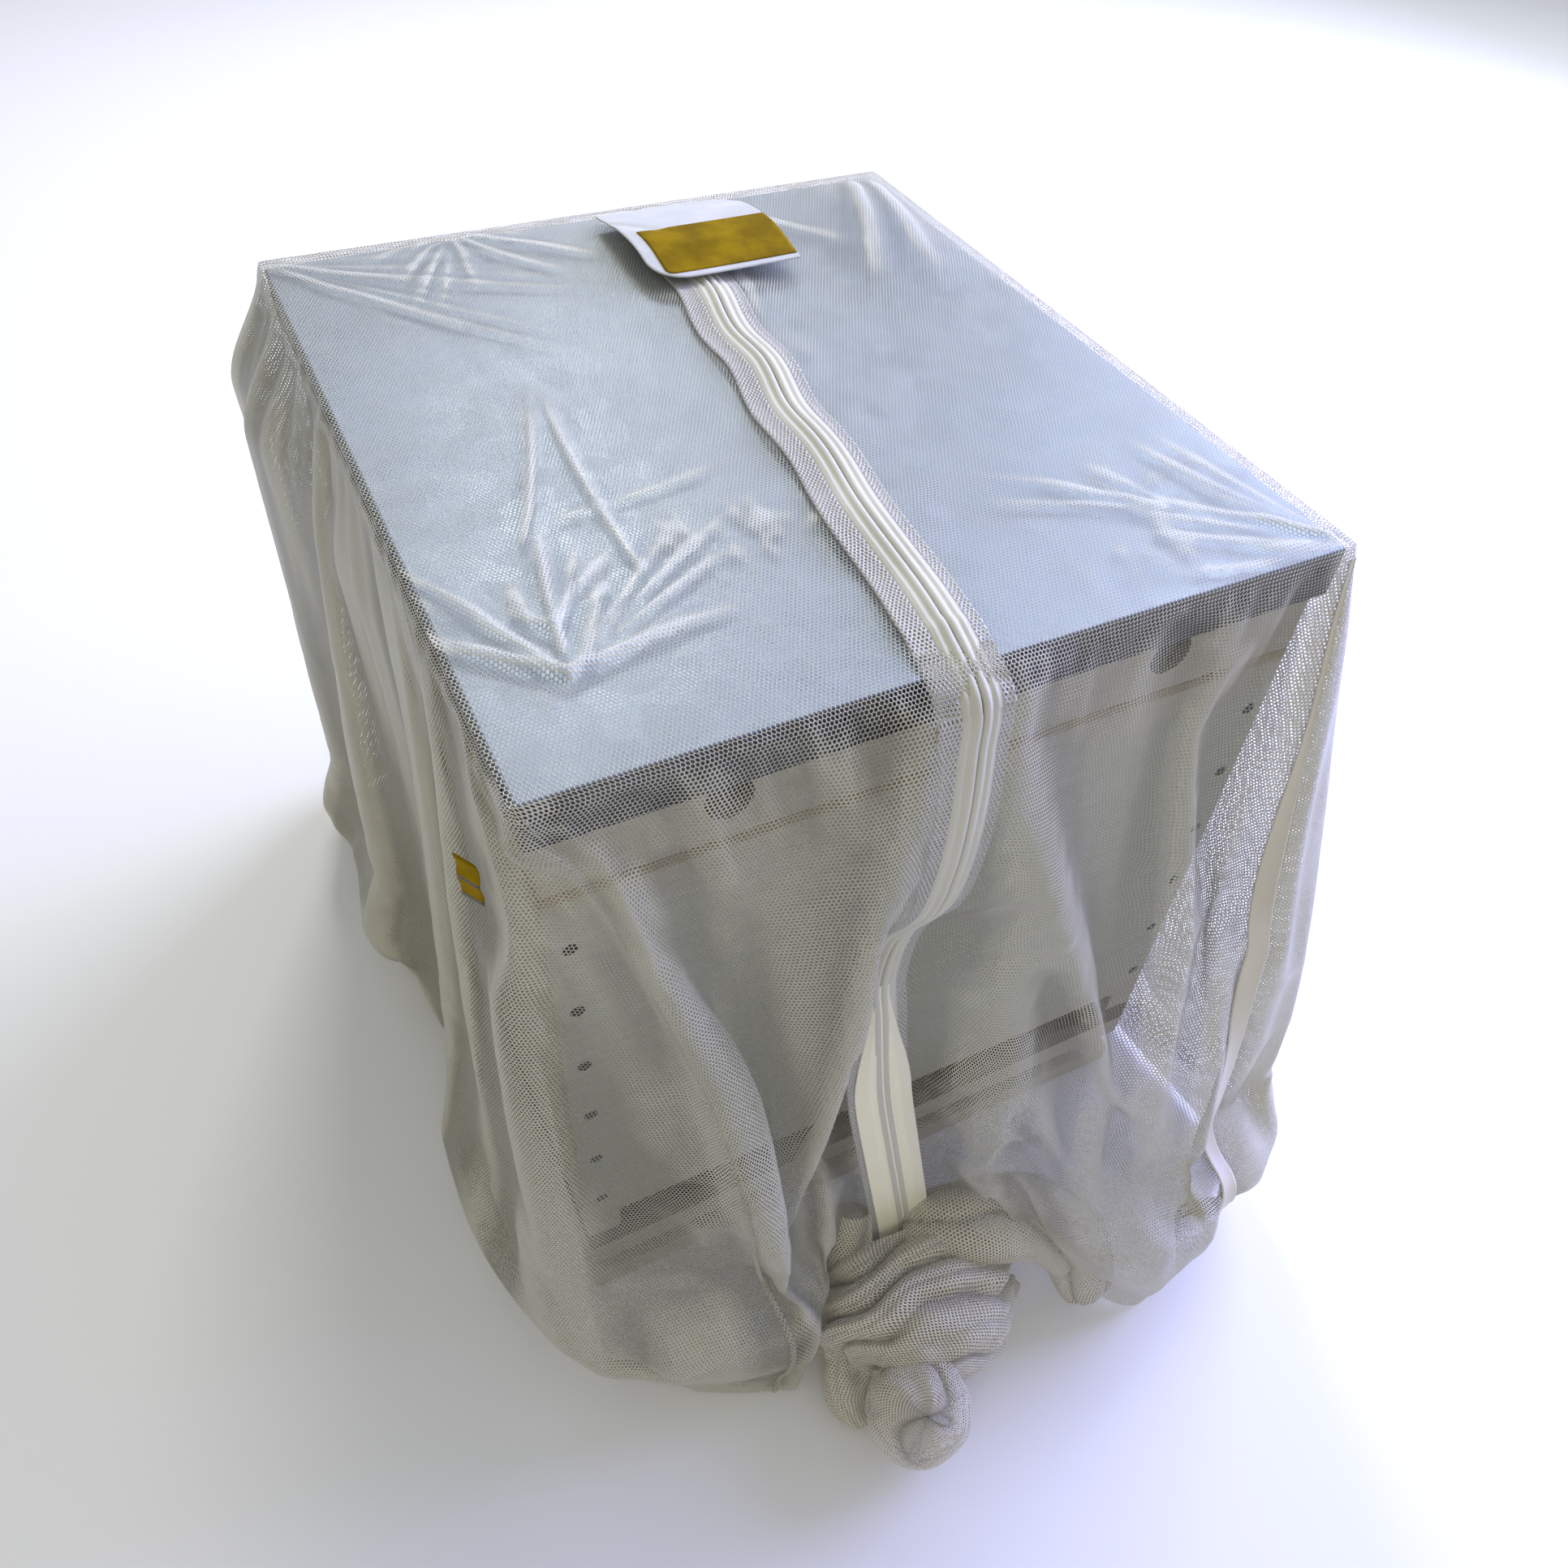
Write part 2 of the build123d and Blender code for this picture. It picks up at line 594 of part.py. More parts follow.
def seam(side):
    """The bound seam down a front corner, on the front panel beside the mitre."""
    top, hem = outline(1, 0), outline(0, 0)
    edge = 0 if side < 0 else 1
    with BuildPart() as bound:
        for outer, height in ((hem, HEM_Z), (top, NET_TOP - NET)):
            with BuildSketch(Plane.XY.offset(height)):
                with Locations((outer[edge] - side * SEAM_WIDTH, outer[2] - SEAM_THICK / 2)):
                    Rectangle(SEAM_WIDTH, SEAM_THICK)
        loft(ruled=True)
    return bound.part


with BuildPart() as seam_left:
    add(seam(-1))
save(seam_left.part, "seam_left")

with BuildPart() as seam_right:
    add(seam(1))
save(seam_right.part, "seam_right")

SIDE_LEAN = atan2(TOP_LEFT - HEM_LEFT, NET_TOP - HEM_Z)
tag_x = TOP_LEFT - (NET_TOP - TAG_MIDDLE_Z) * sin(SIDE_LEAN) / cos(SIDE_LEAN)
SIDE_FACE = Plane(
    origin=(tag_x, TAG_Y, TAG_MIDDLE_Z),
    x_dir=(0, 1, 0),
    z_dir=(-cos(SIDE_LEAN), 0, sin(SIDE_LEAN)),
)
with BuildPart() as side_tag:
    with BuildSketch(SIDE_FACE.offset(TAG_THICK)):
        with Locations((TAG_REACH / 2, 0)):
            RectangleRounded(TAG_REACH, TAG_LENGTH, 1.5)
    extrude(amount=TAG_THICK)
save(side_tag.part, "side_tag")


# ================= the spare net on the floor =================
knot_middle = (KNOT_X, KNOT_Y, KNOT_RADIUS + KNOT_FLOOR_GAP)
neck_middle = (KNOT_X, NECK_Y, KNOT_RADIUS + KNOT_FLOOR_GAP)
with BuildPart() as gathered_net:
    mouth_middle = (GATHER_X, GATHER_BACK_Y, GATHER_HALF_HEIGHT + KNOT_FLOOR_GAP)
    with BuildSketch(Plane(origin=mouth_middle, x_dir=(1, 0, 0), z_dir=(0, -1, 0))):
        Ellipse(GATHER_HALF_WIDTH, GATHER_HALF_HEIGHT)
    with BuildSketch(Plane(origin=neck_middle, x_dir=(1, 0, 0), z_dir=(0, -1, 0))):
        Circle(NECK_RADIUS)
    loft()
save(gathered_net.part, "gathered_net")

with BuildPart() as end_knot:
    with BuildSketch(Plane(origin=knot_middle, x_dir=(0, 1, 0), z_dir=(1, 0, 0))):
        with BuildLine():
            CenterArc((0, 0), KNOT_RADIUS, 0, 180)
            Line((-KNOT_RADIUS, 0), (KNOT_RADIUS, 0))
        make_face()
    revolve(axis=Axis(knot_middle, (0, 1, 0)))
    split(bisect_by=Plane(origin=(0, NECK_Y - 0.5, 0), z_dir=(0, -1, 0)), keep=Keep.TOP)
save(end_knot.part, "end_knot")


def hem_roll(ends, depth):
    """Net bunched on the floor along the front, as a half-round roll with rounded ends."""
    middle_y = HEM_FRONT - ROLL_GAP - SEAM_THICK - depth / 2
    with BuildPart() as rolled:
        with BuildSketch(Plane.XY.offset(HEM_Z)):
            with Locations(((ends[0] + ends[1]) / 2, middle_y)):
                RectangleRounded(ends[1] - ends[0], depth, 0.45 * depth)
        extrude(amount=ROLL_HEIGHT)
        fillet(rolled.faces().sort_by(Axis.Z)[-1].edges(), 0.4 * depth)
    return rolled.part


with BuildPart() as hem_roll_left:
    add(hem_roll(LEFT_ROLL, LEFT_ROLL_DEPTH))
save(hem_roll_left.part, "hem_roll_left")

with BuildPart() as hem_roll_right:
    add(hem_roll(RIGHT_ROLL, RIGHT_ROLL_DEPTH))
save(hem_roll_right.part, "hem_roll_right")
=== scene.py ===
"""A zipped net veil drawn over a wooden beehive, gathered and knotted on the floor in front of it."""

from math import cos, exp, hypot, pi, radians, sin

import bmesh
import bpy
from mathutils import Matrix, Vector, noise


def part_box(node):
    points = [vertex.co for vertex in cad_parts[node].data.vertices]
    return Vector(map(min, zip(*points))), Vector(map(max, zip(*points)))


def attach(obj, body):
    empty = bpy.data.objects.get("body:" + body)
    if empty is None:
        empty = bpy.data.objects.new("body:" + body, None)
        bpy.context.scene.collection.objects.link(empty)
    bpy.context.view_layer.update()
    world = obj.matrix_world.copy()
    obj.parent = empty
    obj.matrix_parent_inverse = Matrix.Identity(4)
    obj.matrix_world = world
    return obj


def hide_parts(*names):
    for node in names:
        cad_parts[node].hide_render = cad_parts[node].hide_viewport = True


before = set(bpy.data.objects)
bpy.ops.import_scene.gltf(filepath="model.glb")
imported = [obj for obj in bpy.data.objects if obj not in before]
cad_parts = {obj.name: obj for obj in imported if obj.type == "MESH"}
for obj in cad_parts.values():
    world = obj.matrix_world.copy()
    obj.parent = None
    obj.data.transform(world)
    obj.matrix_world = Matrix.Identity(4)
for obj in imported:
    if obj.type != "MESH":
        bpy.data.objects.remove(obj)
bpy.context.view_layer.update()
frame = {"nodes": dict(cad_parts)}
MM = 0.001
UP = Vector((0, 0, 1))

# ---- places read from the frame, in metres ----
lid_low, lid_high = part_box("lid_sheet")
body_low, body_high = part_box("box_front")
box_back_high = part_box("box_back")[1]
knot_low, knot_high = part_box("end_knot")
zip_low, zip_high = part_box("zip_tape_left")
zip_right_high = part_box("zip_tape_right")[1]
flap_low, flap_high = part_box("slider_flap")
tag_low, tag_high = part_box("side_tag")

LID_TOP = lid_high.z
EDGE_GAP = 3 * MM
LEFT, RIGHT = lid_low.x - EDGE_GAP, lid_high.x + EDGE_GAP
FRONT, BACK = lid_low.y - EDGE_GAP, lid_high.y + EDGE_GAP
NET_ON_LID = LID_TOP + 3 * MM
NET_FLOOR = 4 * MM
RING_LENGTH = 2 * (RIGHT - LEFT + BACK - FRONT)

# ---- the net as a mesh: columns round the lid, rows from the lid's edge to the hem ----
CELLS_ACROSS, CELLS_DEEP = 64, 68
ROWS = 80
FALL_FRAMES = 34
TOP_CELL = 2.1 * MM
FRONT_WAVE, SIDE_WAVE = 1.5 * MM, 9 * MM

# ---- the zip: its lean is how far it shifts to the right from the lid's front edge to its back end ----
ZIP_HALF = 17 * MM
BAND_HALF = 24 * MM
ZIP_BACK = zip_high.y
ZIP_LEAN = 46 * MM
ZIP_FRONT_X = (zip_low.x + zip_right_high.x - ZIP_LEAN) / 2
ZIP_WAVE = 1.6 * MM
ZIP_LENGTH, ZIP_STEP = 0.96, 1.5 * MM
FOOT_TOP = 0.315

# ---- the tag's root, and the degrees it stands off the net ----
TAG_X = tag_low.x - 1 * MM
TAG_TURN = 30

# ---- the loose net: how far down it billows on the left, and how far the right front seam is drawn out ----
BILLOW_DROP = 0.42
SEAM_PULL = Vector((-4, -14, 0)) * MM

# ---- the hexagonal holes, and how doubled the net hangs at the sides ----
NET_PITCH = 2.2 * MM
HEX_RATIO = 3**0.5
LEFT_LAYERS, RIGHT_LAYERS = 0.85, 0.50
# painted shade: the near black colour for the inside of holes bored in a board
HOLE_PAINTED_SHADE = (0.05, 0.042, 0.03, 1)


# ============================ small helpers ============================
def mesh_object(name, points, faces):
    """A new smooth object from vertex positions and faces."""
    mesh = bpy.data.meshes.new(name)
    mesh.from_pydata([tuple(p) for p in points], [], [tuple(f) for f in faces])
    mesh.update()
    mesh.polygons.foreach_set("use_smooth", [True] * len(mesh.polygons))
    piece = bpy.data.objects.new(name, mesh)
    bpy.context.scene.collection.objects.link(piece)
    return piece


def tube_faces(rings, around, flip=False):
    """The quads between rings of points; flip turns them over."""
    faces = []
    for ring in range(rings):
        low, high = ring * around, (ring + 1) * around
        for n in range(around):
            after = (n + 1) % around
            quad = (low + n, low + after, high + after, high + n)
            faces.append(quad[:1] + quad[:0:-1] if flip else quad)
    return faces


def end_caps(rings, around):
    """The two faces that close a tube."""
    return [tuple(range(around - 1, -1, -1)), tuple(rings * around + n for n in range(around))]


def lay_cloth(piece, places):
    """Gives a piece its cloth coordinates, one place per vertex."""
    layer = piece.data.uv_layers.new(name="net")
    for loop in piece.data.loops:
        layer.data[loop.index].uv = places[loop.vertex_index]


def store(piece, name, values):
    """Stores one number per vertex for the material to read."""
    piece.data.attributes.new(name, "FLOAT", "POINT").data.foreach_set("value", values)


def give(piece, material):
    """Puts one material on a piece."""
    piece.data.materials.clear()
    piece.data.materials.append(material)


def dress(piece, material, slot, body, *nodes):
    """Gives a piece its material and body, and hides the CAD nodes it stands for; the slot is not used."""
    give(piece, material)
    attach(piece, body)
    if nodes:
        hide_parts(*nodes)


def smoothstep(low, high, value):
    """0 below low, 1 above high, smooth between."""
    t = min(1.0, max(0.0, (value - low) / (high - low)))
    return t * t * (3 - 2 * t)


def spline(points, t):
    """A point on a smooth curve through the points, for t from 0 to 1."""
    place = min(0.999999, max(0.0, t)) * (len(points) - 1)
    n = int(place)
    f = place - n
    p0, p1 = points[max(0, n - 1)], points[n]
    p2, p3 = points[n + 1], points[min(len(points) - 1, n + 2)]
    square, cube = 2 * p0 - 5 * p1 + 4 * p2 - p3, 3 * p1 - p0 - 3 * p2 + p3
    return 0.5 * (2 * p1 + (p2 - p0) * f + square * f * f + cube * f**3)


def even_curve(points, count):
    """count + 1 points at equal steps of length along the smooth curve."""
    fine = 600
    dense = [spline(points, n / fine) for n in range(fine + 1)]
    reach = [0.0]
    for before, after in zip(dense, dense[1:]):
        reach.append(reach[-1] + (after - before).length)
    even, n = [], 0
    for step in range(count + 1):
        want = reach[-1] * step / count
        while n < fine - 1 and reach[n + 1] < want:
            n += 1
        part = (want - reach[n]) / max(1e-9, reach[n + 1] - reach[n])
        even.append(dense[n].lerp(dense[n + 1], part))
    return even


# ============================ shaders ============================
class Shader:
    """Builds the nodes of a new material, or of a new world, with short calls."""

    def __init__(self, name, family="materials"):
        self.owner = getattr(bpy.data, family).new(name)
        self.owner.use_nodes = True
        self.tree = self.owner.node_tree
        self.tree.nodes.clear()

    def node(self, kind, inputs=None, **settings):
        """A node with its settings, and its inputs linked or set."""
        made = self.tree.nodes.new("ShaderNode" + kind)
        for key, value in settings.items():
            setattr(made, key, value)
        for key, value in (inputs or {}).items():
            if isinstance(value, bpy.types.NodeSocket):
                self.tree.links.new(value, made.inputs[key])
            else:
                made.inputs[key].default_value = value
        return made

    def math(self, operation, a, b=0.0):
        """One math step."""
        return self.node("Math", {0: a, 1: b}, operation=operation).outputs[0]

    def vector(self, operation, a, b=(0, 0, 0)):
        """One vector step."""
        return self.node("VectorMath", {0: a, 1: b}, operation=operation).outputs[0]

    def length(self, a):
        """The length of a vector."""
        return self.node("VectorMath", {0: a}, operation="LENGTH").outputs["Value"]

    def steps(self, value, low, high, to_low=0.0, to_high=1.0):
        """Maps a range to another, smoothly."""
        inputs = {0: value, 1: low, 2: high, 3: to_low, 4: to_high}
        return self.node("MapRange", inputs, interpolation_type="SMOOTHSTEP").outputs[0]

    def noise(self, coordinates, scale, detail=3.0, roughness=0.55):
        """Noise from 0 to 1."""
        inputs = {"Vector": coordinates, "Scale": scale, "Detail": detail, "Roughness": roughness}
        return self.node("TexNoise", inputs).outputs[0]

    def mix(self, factor, a, b):
        """A blend of two colours."""
        return self.node("Mix", {0: factor, 6: a, 7: b}, data_type="RGBA").outputs[2]

    def bump(self, height, strength, distance):
        """A bumped normal."""
        return self.node("Bump", {"Height": height, "Strength": strength, "Distance": distance}).outputs[0]

    def open_to_air(self):
        """How open the place is: 1 on a free face, towards 0 inside a hole bored in the same board."""
        return self.node("AmbientOcclusion", {"Distance": 0.05}, only_local=True).outputs["AO"]

    def place(self):
        """The point in the object's own space."""
        return self.node("TexCoord").outputs["Object"]

    def cloth_place(self):
        """The point on the cloth laid flat, in metres."""
        return self.node("UVMap", uv_map="net").outputs[0]

    def weave(self, place, threads):
        """A plain weave of so many threads a metre, from 0 to 1."""
        parts = self.node("SeparateXYZ", {0: place})
        warp, weft = (
            self.math("SINE", self.math("MULTIPLY", parts.outputs[n], threads * 2 * pi)) for n in (0, 1)
        )
        return self.math("MULTIPLY", self.math("ADD", self.math("MULTIPLY", warp, weft), 1.0), 0.5)

    def shade_inside_holes(self, shade):
        """The colour, taken to near black inside holes bored in the same board: painted shade."""
        return self.mix(self.steps(self.open_to_air(), 0.15, 0.85, 1.0, 0.0), shade, HOLE_PAINTED_SHADE)

    def principled(self, inputs):
        """The main surface shader."""
        return self.node("BsdfPrincipled", inputs).outputs[0]

    def finish(self, surface):
        """Ends the tree and returns the material."""
        self.node("OutputMaterial", {"Surface": surface})
        return self.owner


def dim(colour, share):
    """The colour at a share of its brightness."""
    return tuple(c * share for c in colour[:3]) + (1,)


def net_material(name, colour, hole=0.395, see_through=0.28):
    """White hexagonal net: staggered holes cut through, thread rounded by bump, a satin sheen.

    The holes close up where the net is bunched ("layers"), where it is seen edge on and on its ridges. The
    valleys between folds are darkened as painted shade, and the ridges and glint streaks are whitened as
    painted highlight ("relief").
    """
    s = Shader(name)
    place = s.cloth_place()
    layers = s.node("Attribute", attribute_name="layers").outputs["Fac"]
    relief_and_painted_light = s.node("Attribute", attribute_name="relief_and_painted_light").outputs["Fac"]
    drift = s.noise(s.vector("MULTIPLY", place, (60, 60, 60)), 1.0, 2.0)
    cells = s.vector("MULTIPLY", place, (1 / NET_PITCH, 0.92 / NET_PITCH, 0))
    cells = s.vector("ADD", cells, s.node("CombineXYZ", {0: s.math("MULTIPLY", drift, 0.9)}).outputs[0])
    cell = (1.0, HEX_RATIO, 1.0)
    distances = []
    for shift in (0.0, 0.5):
        local = s.vector("ADD", s.vector("DIVIDE", cells, cell), (shift, shift, 0))
        local = s.vector("SUBTRACT", s.vector("FRACTION", local), (0.5, 0.5, 0))
        distances.append(s.length(s.vector("MULTIPLY", local, (1.0, HEX_RATIO, 0))))
    from_hole = s.math("MINIMUM", distances[0], distances[1])
    edge_on = s.node("LayerWeight", {"Blend": 0.5}).outputs["Facing"]
    closing = s.math("ADD", s.math("MULTIPLY", layers, 0.26), s.steps(edge_on, 0.50, 1.0, 0.0, 0.22))
    # holes also close on ridges where the net is drawn together; on the lid, where the value also carries
    # the painted glint streaks, this adds to the painted highlight
    closing = s.math("ADD", closing, s.steps(relief_and_painted_light, 0.0, 0.6, 0.0, 0.13))
    size = s.math("SUBTRACT", s.math("ADD", hole - 0.03, s.math("MULTIPLY", drift, 0.06)), closing)
    thread = s.steps(s.math("SUBTRACT", from_hole, size), -0.05, 0.05)
    rounded = s.steps(from_hole, hole - 0.05, 0.57)
    broad = s.noise(s.place(), 14.0, 4.0)
    shade = s.mix(broad, dim(colour, 0.90), colour)
    # painted shade: the valleys between folds, and the places pushed down as shade, are darkened
    shade = s.mix(s.steps(relief_and_painted_light, -0.9, 0.1, 1.0, 0.0), shade, dim(colour, 0.55))
    # painted highlight: ridges and glint streaks whitened
    shade = s.mix(s.steps(relief_and_painted_light, 0.1, 1.0, 0.0, 0.55), shade, (0.95, 0.95, 0.88, 1))
    satin = s.principled({
        "Base Color": shade,
        "Roughness": 0.30,
        "Specular IOR Level": 0.9,
        "Sheen Weight": 0.2,
        "Sheen Roughness": 0.4,
        "Normal": s.bump(rounded, 0.55, 0.5 * MM),
    })
    through = s.node("BsdfTranslucent", {"Color": shade}).outputs[0]
    cloth = s.node("MixShader", {0: see_through, 1: satin, 2: through}).outputs[0]
    hollow = s.node("BsdfTransparent").outputs[0]
    return s.finish(s.node("MixShader", {0: thread, 1: hollow, 2: cloth}).outputs[0])


def woven_material(name, colour, threads=1400):
    """A tight woven tape or binding."""
    s = Shader(name)
    weave = s.weave(s.cloth_place(), threads)
    broad = s.noise(s.place(), 30.0, 4.0)
    shade = s.mix(s.math("MULTIPLY", s.math("ADD", weave, broad), 0.5), dim(colour, 0.86), colour)
    return s.finish(s.principled({
        "Base Color": shade,
        "Roughness": 0.6,
        "Sheen Weight": 0.3,
        "Normal": s.bump(weave, 0.35, 0.25 * MM),
    }))


def plastic_material(name, colour):
    """Moulded nylon with a faint unevenness."""
    s = Shader(name)
    fine = s.noise(s.place(), 900.0, 2.0)
    broad = s.noise(s.place(), 60.0, 3.0)
    return s.finish(s.principled({
        "Base Color": s.mix(broad, dim(colour, 0.88), colour),
        "Roughness": s.steps(fine, 0.3, 0.7, 0.34, 0.50),
        "Normal": s.bump(fine, 0.15, 0.1 * MM),
    }))


def metal_material(name, colour, roughness=0.35):
    """Plain zinc or nickel with fine scuffs."""
    s = Shader(name)
    scuffs = s.noise(s.vector("MULTIPLY", s.place(), (1, 6, 1)), 260.0, 4.0)
    return s.finish(s.principled({
        "Base Color": s.mix(scuffs, dim(colour, 0.65), colour),
        "Metallic": 1.0,
        "Roughness": s.steps(scuffs, 0.3, 0.7, roughness - 0.08, roughness + 0.12),
        "Normal": s.bump(scuffs, 0.12, 0.15 * MM),
    }))


def lid_material():
    """Galvanised sheet with painted light: pale on top, and dull and dark down the turned-down edge as
    painted shade and reflection of the dim surroundings.
    """
    s = Shader("zinc_lid")
    place = s.place()
    spangle = s.node("TexVoronoi", {"Vector": place, "Scale": 70.0}).outputs["Color"]
    flake = s.node("SeparateColor", {0: spangle}).outputs[0]
    broad = s.noise(place, 9.0, 4.0)
    facing = s.node("SeparateXYZ", {0: s.node("NewGeometry").outputs["Normal"]}).outputs[2]
    # lit and shaded copies of one zinc, chosen by which way the face turns: painted light
    top = s.steps(facing, 0.3, 0.8)
    pale = s.mix(flake, (0.27, 0.34, 0.44, 1), (0.34, 0.41, 0.52, 1))
    pale = s.mix(s.steps(broad, 0.35, 0.75, 0.0, 0.5), pale, (0.25, 0.30, 0.38, 1))
    painted_dark_lip = s.mix(flake, (0.060, 0.060, 0.065, 1), (0.11, 0.11, 0.12, 1))
    return s.finish(s.principled({
        "Base Color": s.mix(top, painted_dark_lip, pale),
        "Metallic": s.steps(top, 0.0, 1.0, 0.7, 0.55),
        "Roughness": s.steps(flake, 0.0, 1.0, 0.40, 0.50),
        "Normal": s.bump(broad, 0.06, 1.0 * MM),
    }))


def painted_wood_material(name, colour):
    """Whitewashed board: grain under thin paint, dirt in patches, painted shade near black inside bored
    holes, worn along the edges.
    """
    s = Shader(name)
    place = s.place()
    stretched = s.vector("MULTIPLY", place, (3.0, 3.0, 40.0))
    grain = s.noise(stretched, 7.0, 6.0, 0.65)
    pores = s.noise(s.vector("MULTIPLY", place, (12, 12, 300)), 3.0, 3.0)
    broad = s.noise(place, 5.0, 3.0)
    shade = s.mix(s.steps(grain, 0.35, 0.7), dim(colour, 0.84), colour)
    shade = s.mix(s.steps(broad, 0.55, 0.85, 0.0, 0.35), shade, (0.48, 0.47, 0.38, 1))
    edge = s.node("NewGeometry").outputs["Pointiness"]
    shade = s.mix(s.steps(edge, 0.53, 0.62, 0.0, 0.35), shade, (0.50, 0.40, 0.28, 1))
    # painted shade: near black inside bored holes, such as the vents
    shade = s.shade_inside_holes(shade)
    normal = s.bump(s.math("ADD", grain, s.math("MULTIPLY", pores, 0.4)), 0.35, 0.5 * MM)
    return s.finish(s.principled({
        "Base Color": shade,
        "Roughness": s.steps(grain, 0.3, 0.7, 0.5, 0.7),
        "Normal": normal,
    }))


def bare_wood_material(name, light, dark):
    """Unpainted softwood."""
    s = Shader(name)
    place = s.place()
    rings = s.node("TexWave", {
        "Vector": s.vector("MULTIPLY", place, (2, 26, 26)),
        "Scale": 1.1, "Distortion": 5.0, "Detail": 3.0,
    }).outputs[1]
    pores = s.noise(s.vector("MULTIPLY", place, (20, 400, 400)), 1.0, 3.0)
    shade = s.mix(s.math("MULTIPLY", s.math("ADD", rings, pores), 0.5), dark, light)
    return s.finish(s.principled({
        # painted shade: near black inside bored holes
        "Base Color": s.shade_inside_holes(shade),
        "Roughness": 0.62,
        "Normal": s.bump(pores, 0.3, 0.3 * MM),
    }))


def card_material():
    """The flap's stiffened cloth: a fine twill, slightly soiled."""
    s = Shader("flap_cloth")
    parts = s.node("SeparateXYZ", {0: s.cloth_place()})
    x, y = parts.outputs[0], parts.outputs[1]
    twill = s.math("SINE", s.math("MULTIPLY", s.math("ADD", x, y), 1500 * pi))
    cross = s.math("SINE", s.math("MULTIPLY", s.math("SUBTRACT", x, y), 1500 * pi))
    weave = s.math("ADD", s.math("MULTIPLY", twill, 0.35), s.math("MULTIPLY", cross, 0.15))
    broad = s.noise(s.place(), 25.0, 4.0)
    shade = s.mix(s.steps(broad, 0.35, 0.75), (0.46, 0.47, 0.46, 1), (0.56, 0.57, 0.57, 1))
    return s.finish(s.principled({
        "Base Color": shade,
        "Roughness": 0.72,
        "Sheen Weight": 0.2,
        "Normal": s.bump(s.math("ADD", weave, broad), 0.35, 0.3 * MM),
    }))


def mustard_material():
    """Mustard label cloth with a printed field that has rubbed unevenly."""
    s = Shader("mustard_label")
    weave = s.weave(s.cloth_place(), 1 / (0.9 * MM))
    rubbed = s.noise(s.place(), 45.0, 5.0)
    shade = s.mix(s.steps(rubbed, 0.3, 0.7), (0.17, 0.105, 0.0, 1), (0.32, 0.205, 0.0, 1))
    shade = s.mix(s.math("MULTIPLY", weave, 0.35), shade, (0.15, 0.09, 0.001, 1))
    return s.finish(s.principled({
        "Base Color": shade,
        "Roughness": 0.75,
        "Specular IOR Level": 0.05,
        "Normal": s.bump(weave, 0.3, 0.2 * MM),
    }))


# ============================ the drape's first shape ============================
def lid_ring():
    """The lid's edge as grid corners (i, j), anticlockwise from above, from the front left corner."""
    ring = [(i, 0) for i in range(CELLS_ACROSS)]
    ring += [(CELLS_ACROSS, j) for j in range(CELLS_DEEP)]
    ring += [(i, CELLS_DEEP) for i in range(CELLS_ACROSS, 0, -1)]
    ring += [(0, j) for j in range(CELLS_DEEP, 0, -1)]
    return ring


def lid_point(i, j):
    """Where cell corner (i, j) of the net lies on the lid's edge."""
    x = LEFT + (RIGHT - LEFT) * i / CELLS_ACROSS
    y = FRONT + (BACK - FRONT) * j / CELLS_DEEP
    return Vector((x, y, NET_ON_LID))


# Where each part of the net reaches the floor, in millimetres: place on the lid's edge, place of the hem.
HEM_GUIDES = (
    ((-223, -253), (-137, -357, 4)),
    ((-190, -253), (-122, -354, 10)),
    ((-150, -253), (-106, -344, 26)),
    ((-100, -253), (-86, -334, 44)),
    ((-55, -253), (-60, -328, 40)),
    ((-10, -253), (-18, -325, 30)),
    ((50, -253), (30, -331, 58)),
    ((90, -253), (64, -352, 36)),
    ((120, -253), (84, -386, 6)),
    ((155, -253), (118, -414, 4)),
    ((200, -253), (160, -402, 4)),
    ((223, -253), (190, -366, 4)),
    ((223, -236), (219, -377, 4)),
    ((223, -200), (248, -336, 4)),
    ((223, -145), (244, -232, 4)),
    ((223, -90), (253, -140, 4)),
    ((223, -30), (240, -40, 4)),
    ((223, 50), (252, 60, 4)),
    ((223, 130), (240, 140, 4)),
    ((223, 200), (252, 222, 4)),
    ((223, 253), (244, 284, 4)),
    ((110, 253), (118, 284, 4)),
    ((0, 253), (0, 272, 4)),
    ((-110, 253), (-118, 284, 4)),
    ((-223, 253), (-246, 284, 4)),
    ((-223, 195), (-264, 208, 4)),
    ((-223, 140), (-250, 150, 4)),
    ((-223, 90), (-266, 72, 4)),
    ((-223, 45), (-244, 28, 4)),
    ((-223, -5), (-233, -30, 4)),
    ((-223, -60), (-245, -88, 4)),
    ((-223, -105), (-257, -142, 4)),
    ((-223, -150), (-259, -210, 4)),
    ((-223, -185), (-240, -272, 4)),
    ((-223, -215), (-206, -314, 4)),
    ((-223, -238), (-170, -338, 4)),
)

# Folds that run down to the gather, in millimetres:
# (place along the lid's edge from the front left corner, half width, height).
GATHER_FOLDS = (
    (-190, 26, 12),
    (-125, 22, 13),
    (-66, 18, 12),
    (-16, 11, 17),
    (20, 12, 21),
    (258, 10, 15),
    (318, 14, 6),
    (372, 14, 8),
    (420, 7, 10),
    (452, 12, 14),
    (490, 20, 10),
)

# Folds raised on the fallen front, in millimetres: ((x, z) points from the top down, half width, height).
FRONT_FOLDS = (
    (((-212, 482), (-203, 423), (-196, 354), (-181, 270), (-166, 201), (-150, 110)), 8, 7),
    (((-202, 490), (-194, 407), (-180, 305), (-160, 190), (-146, 120)), 6, -5),
    (((-189, 500), (-171, 422), (-155, 331), (-140, 236), (-121, 114)), 9, 15),
    (((-130, 430), (-122, 340), (-112, 250), (-104, 160)), 14, -5),
    (((4, 440), (31, 356), (68, 259), (84, 195), (79, 107)), 9, 12),
    (((-232, 330), (-226, 240), (-210, 158), (-186, 20)), 10, 7),
)

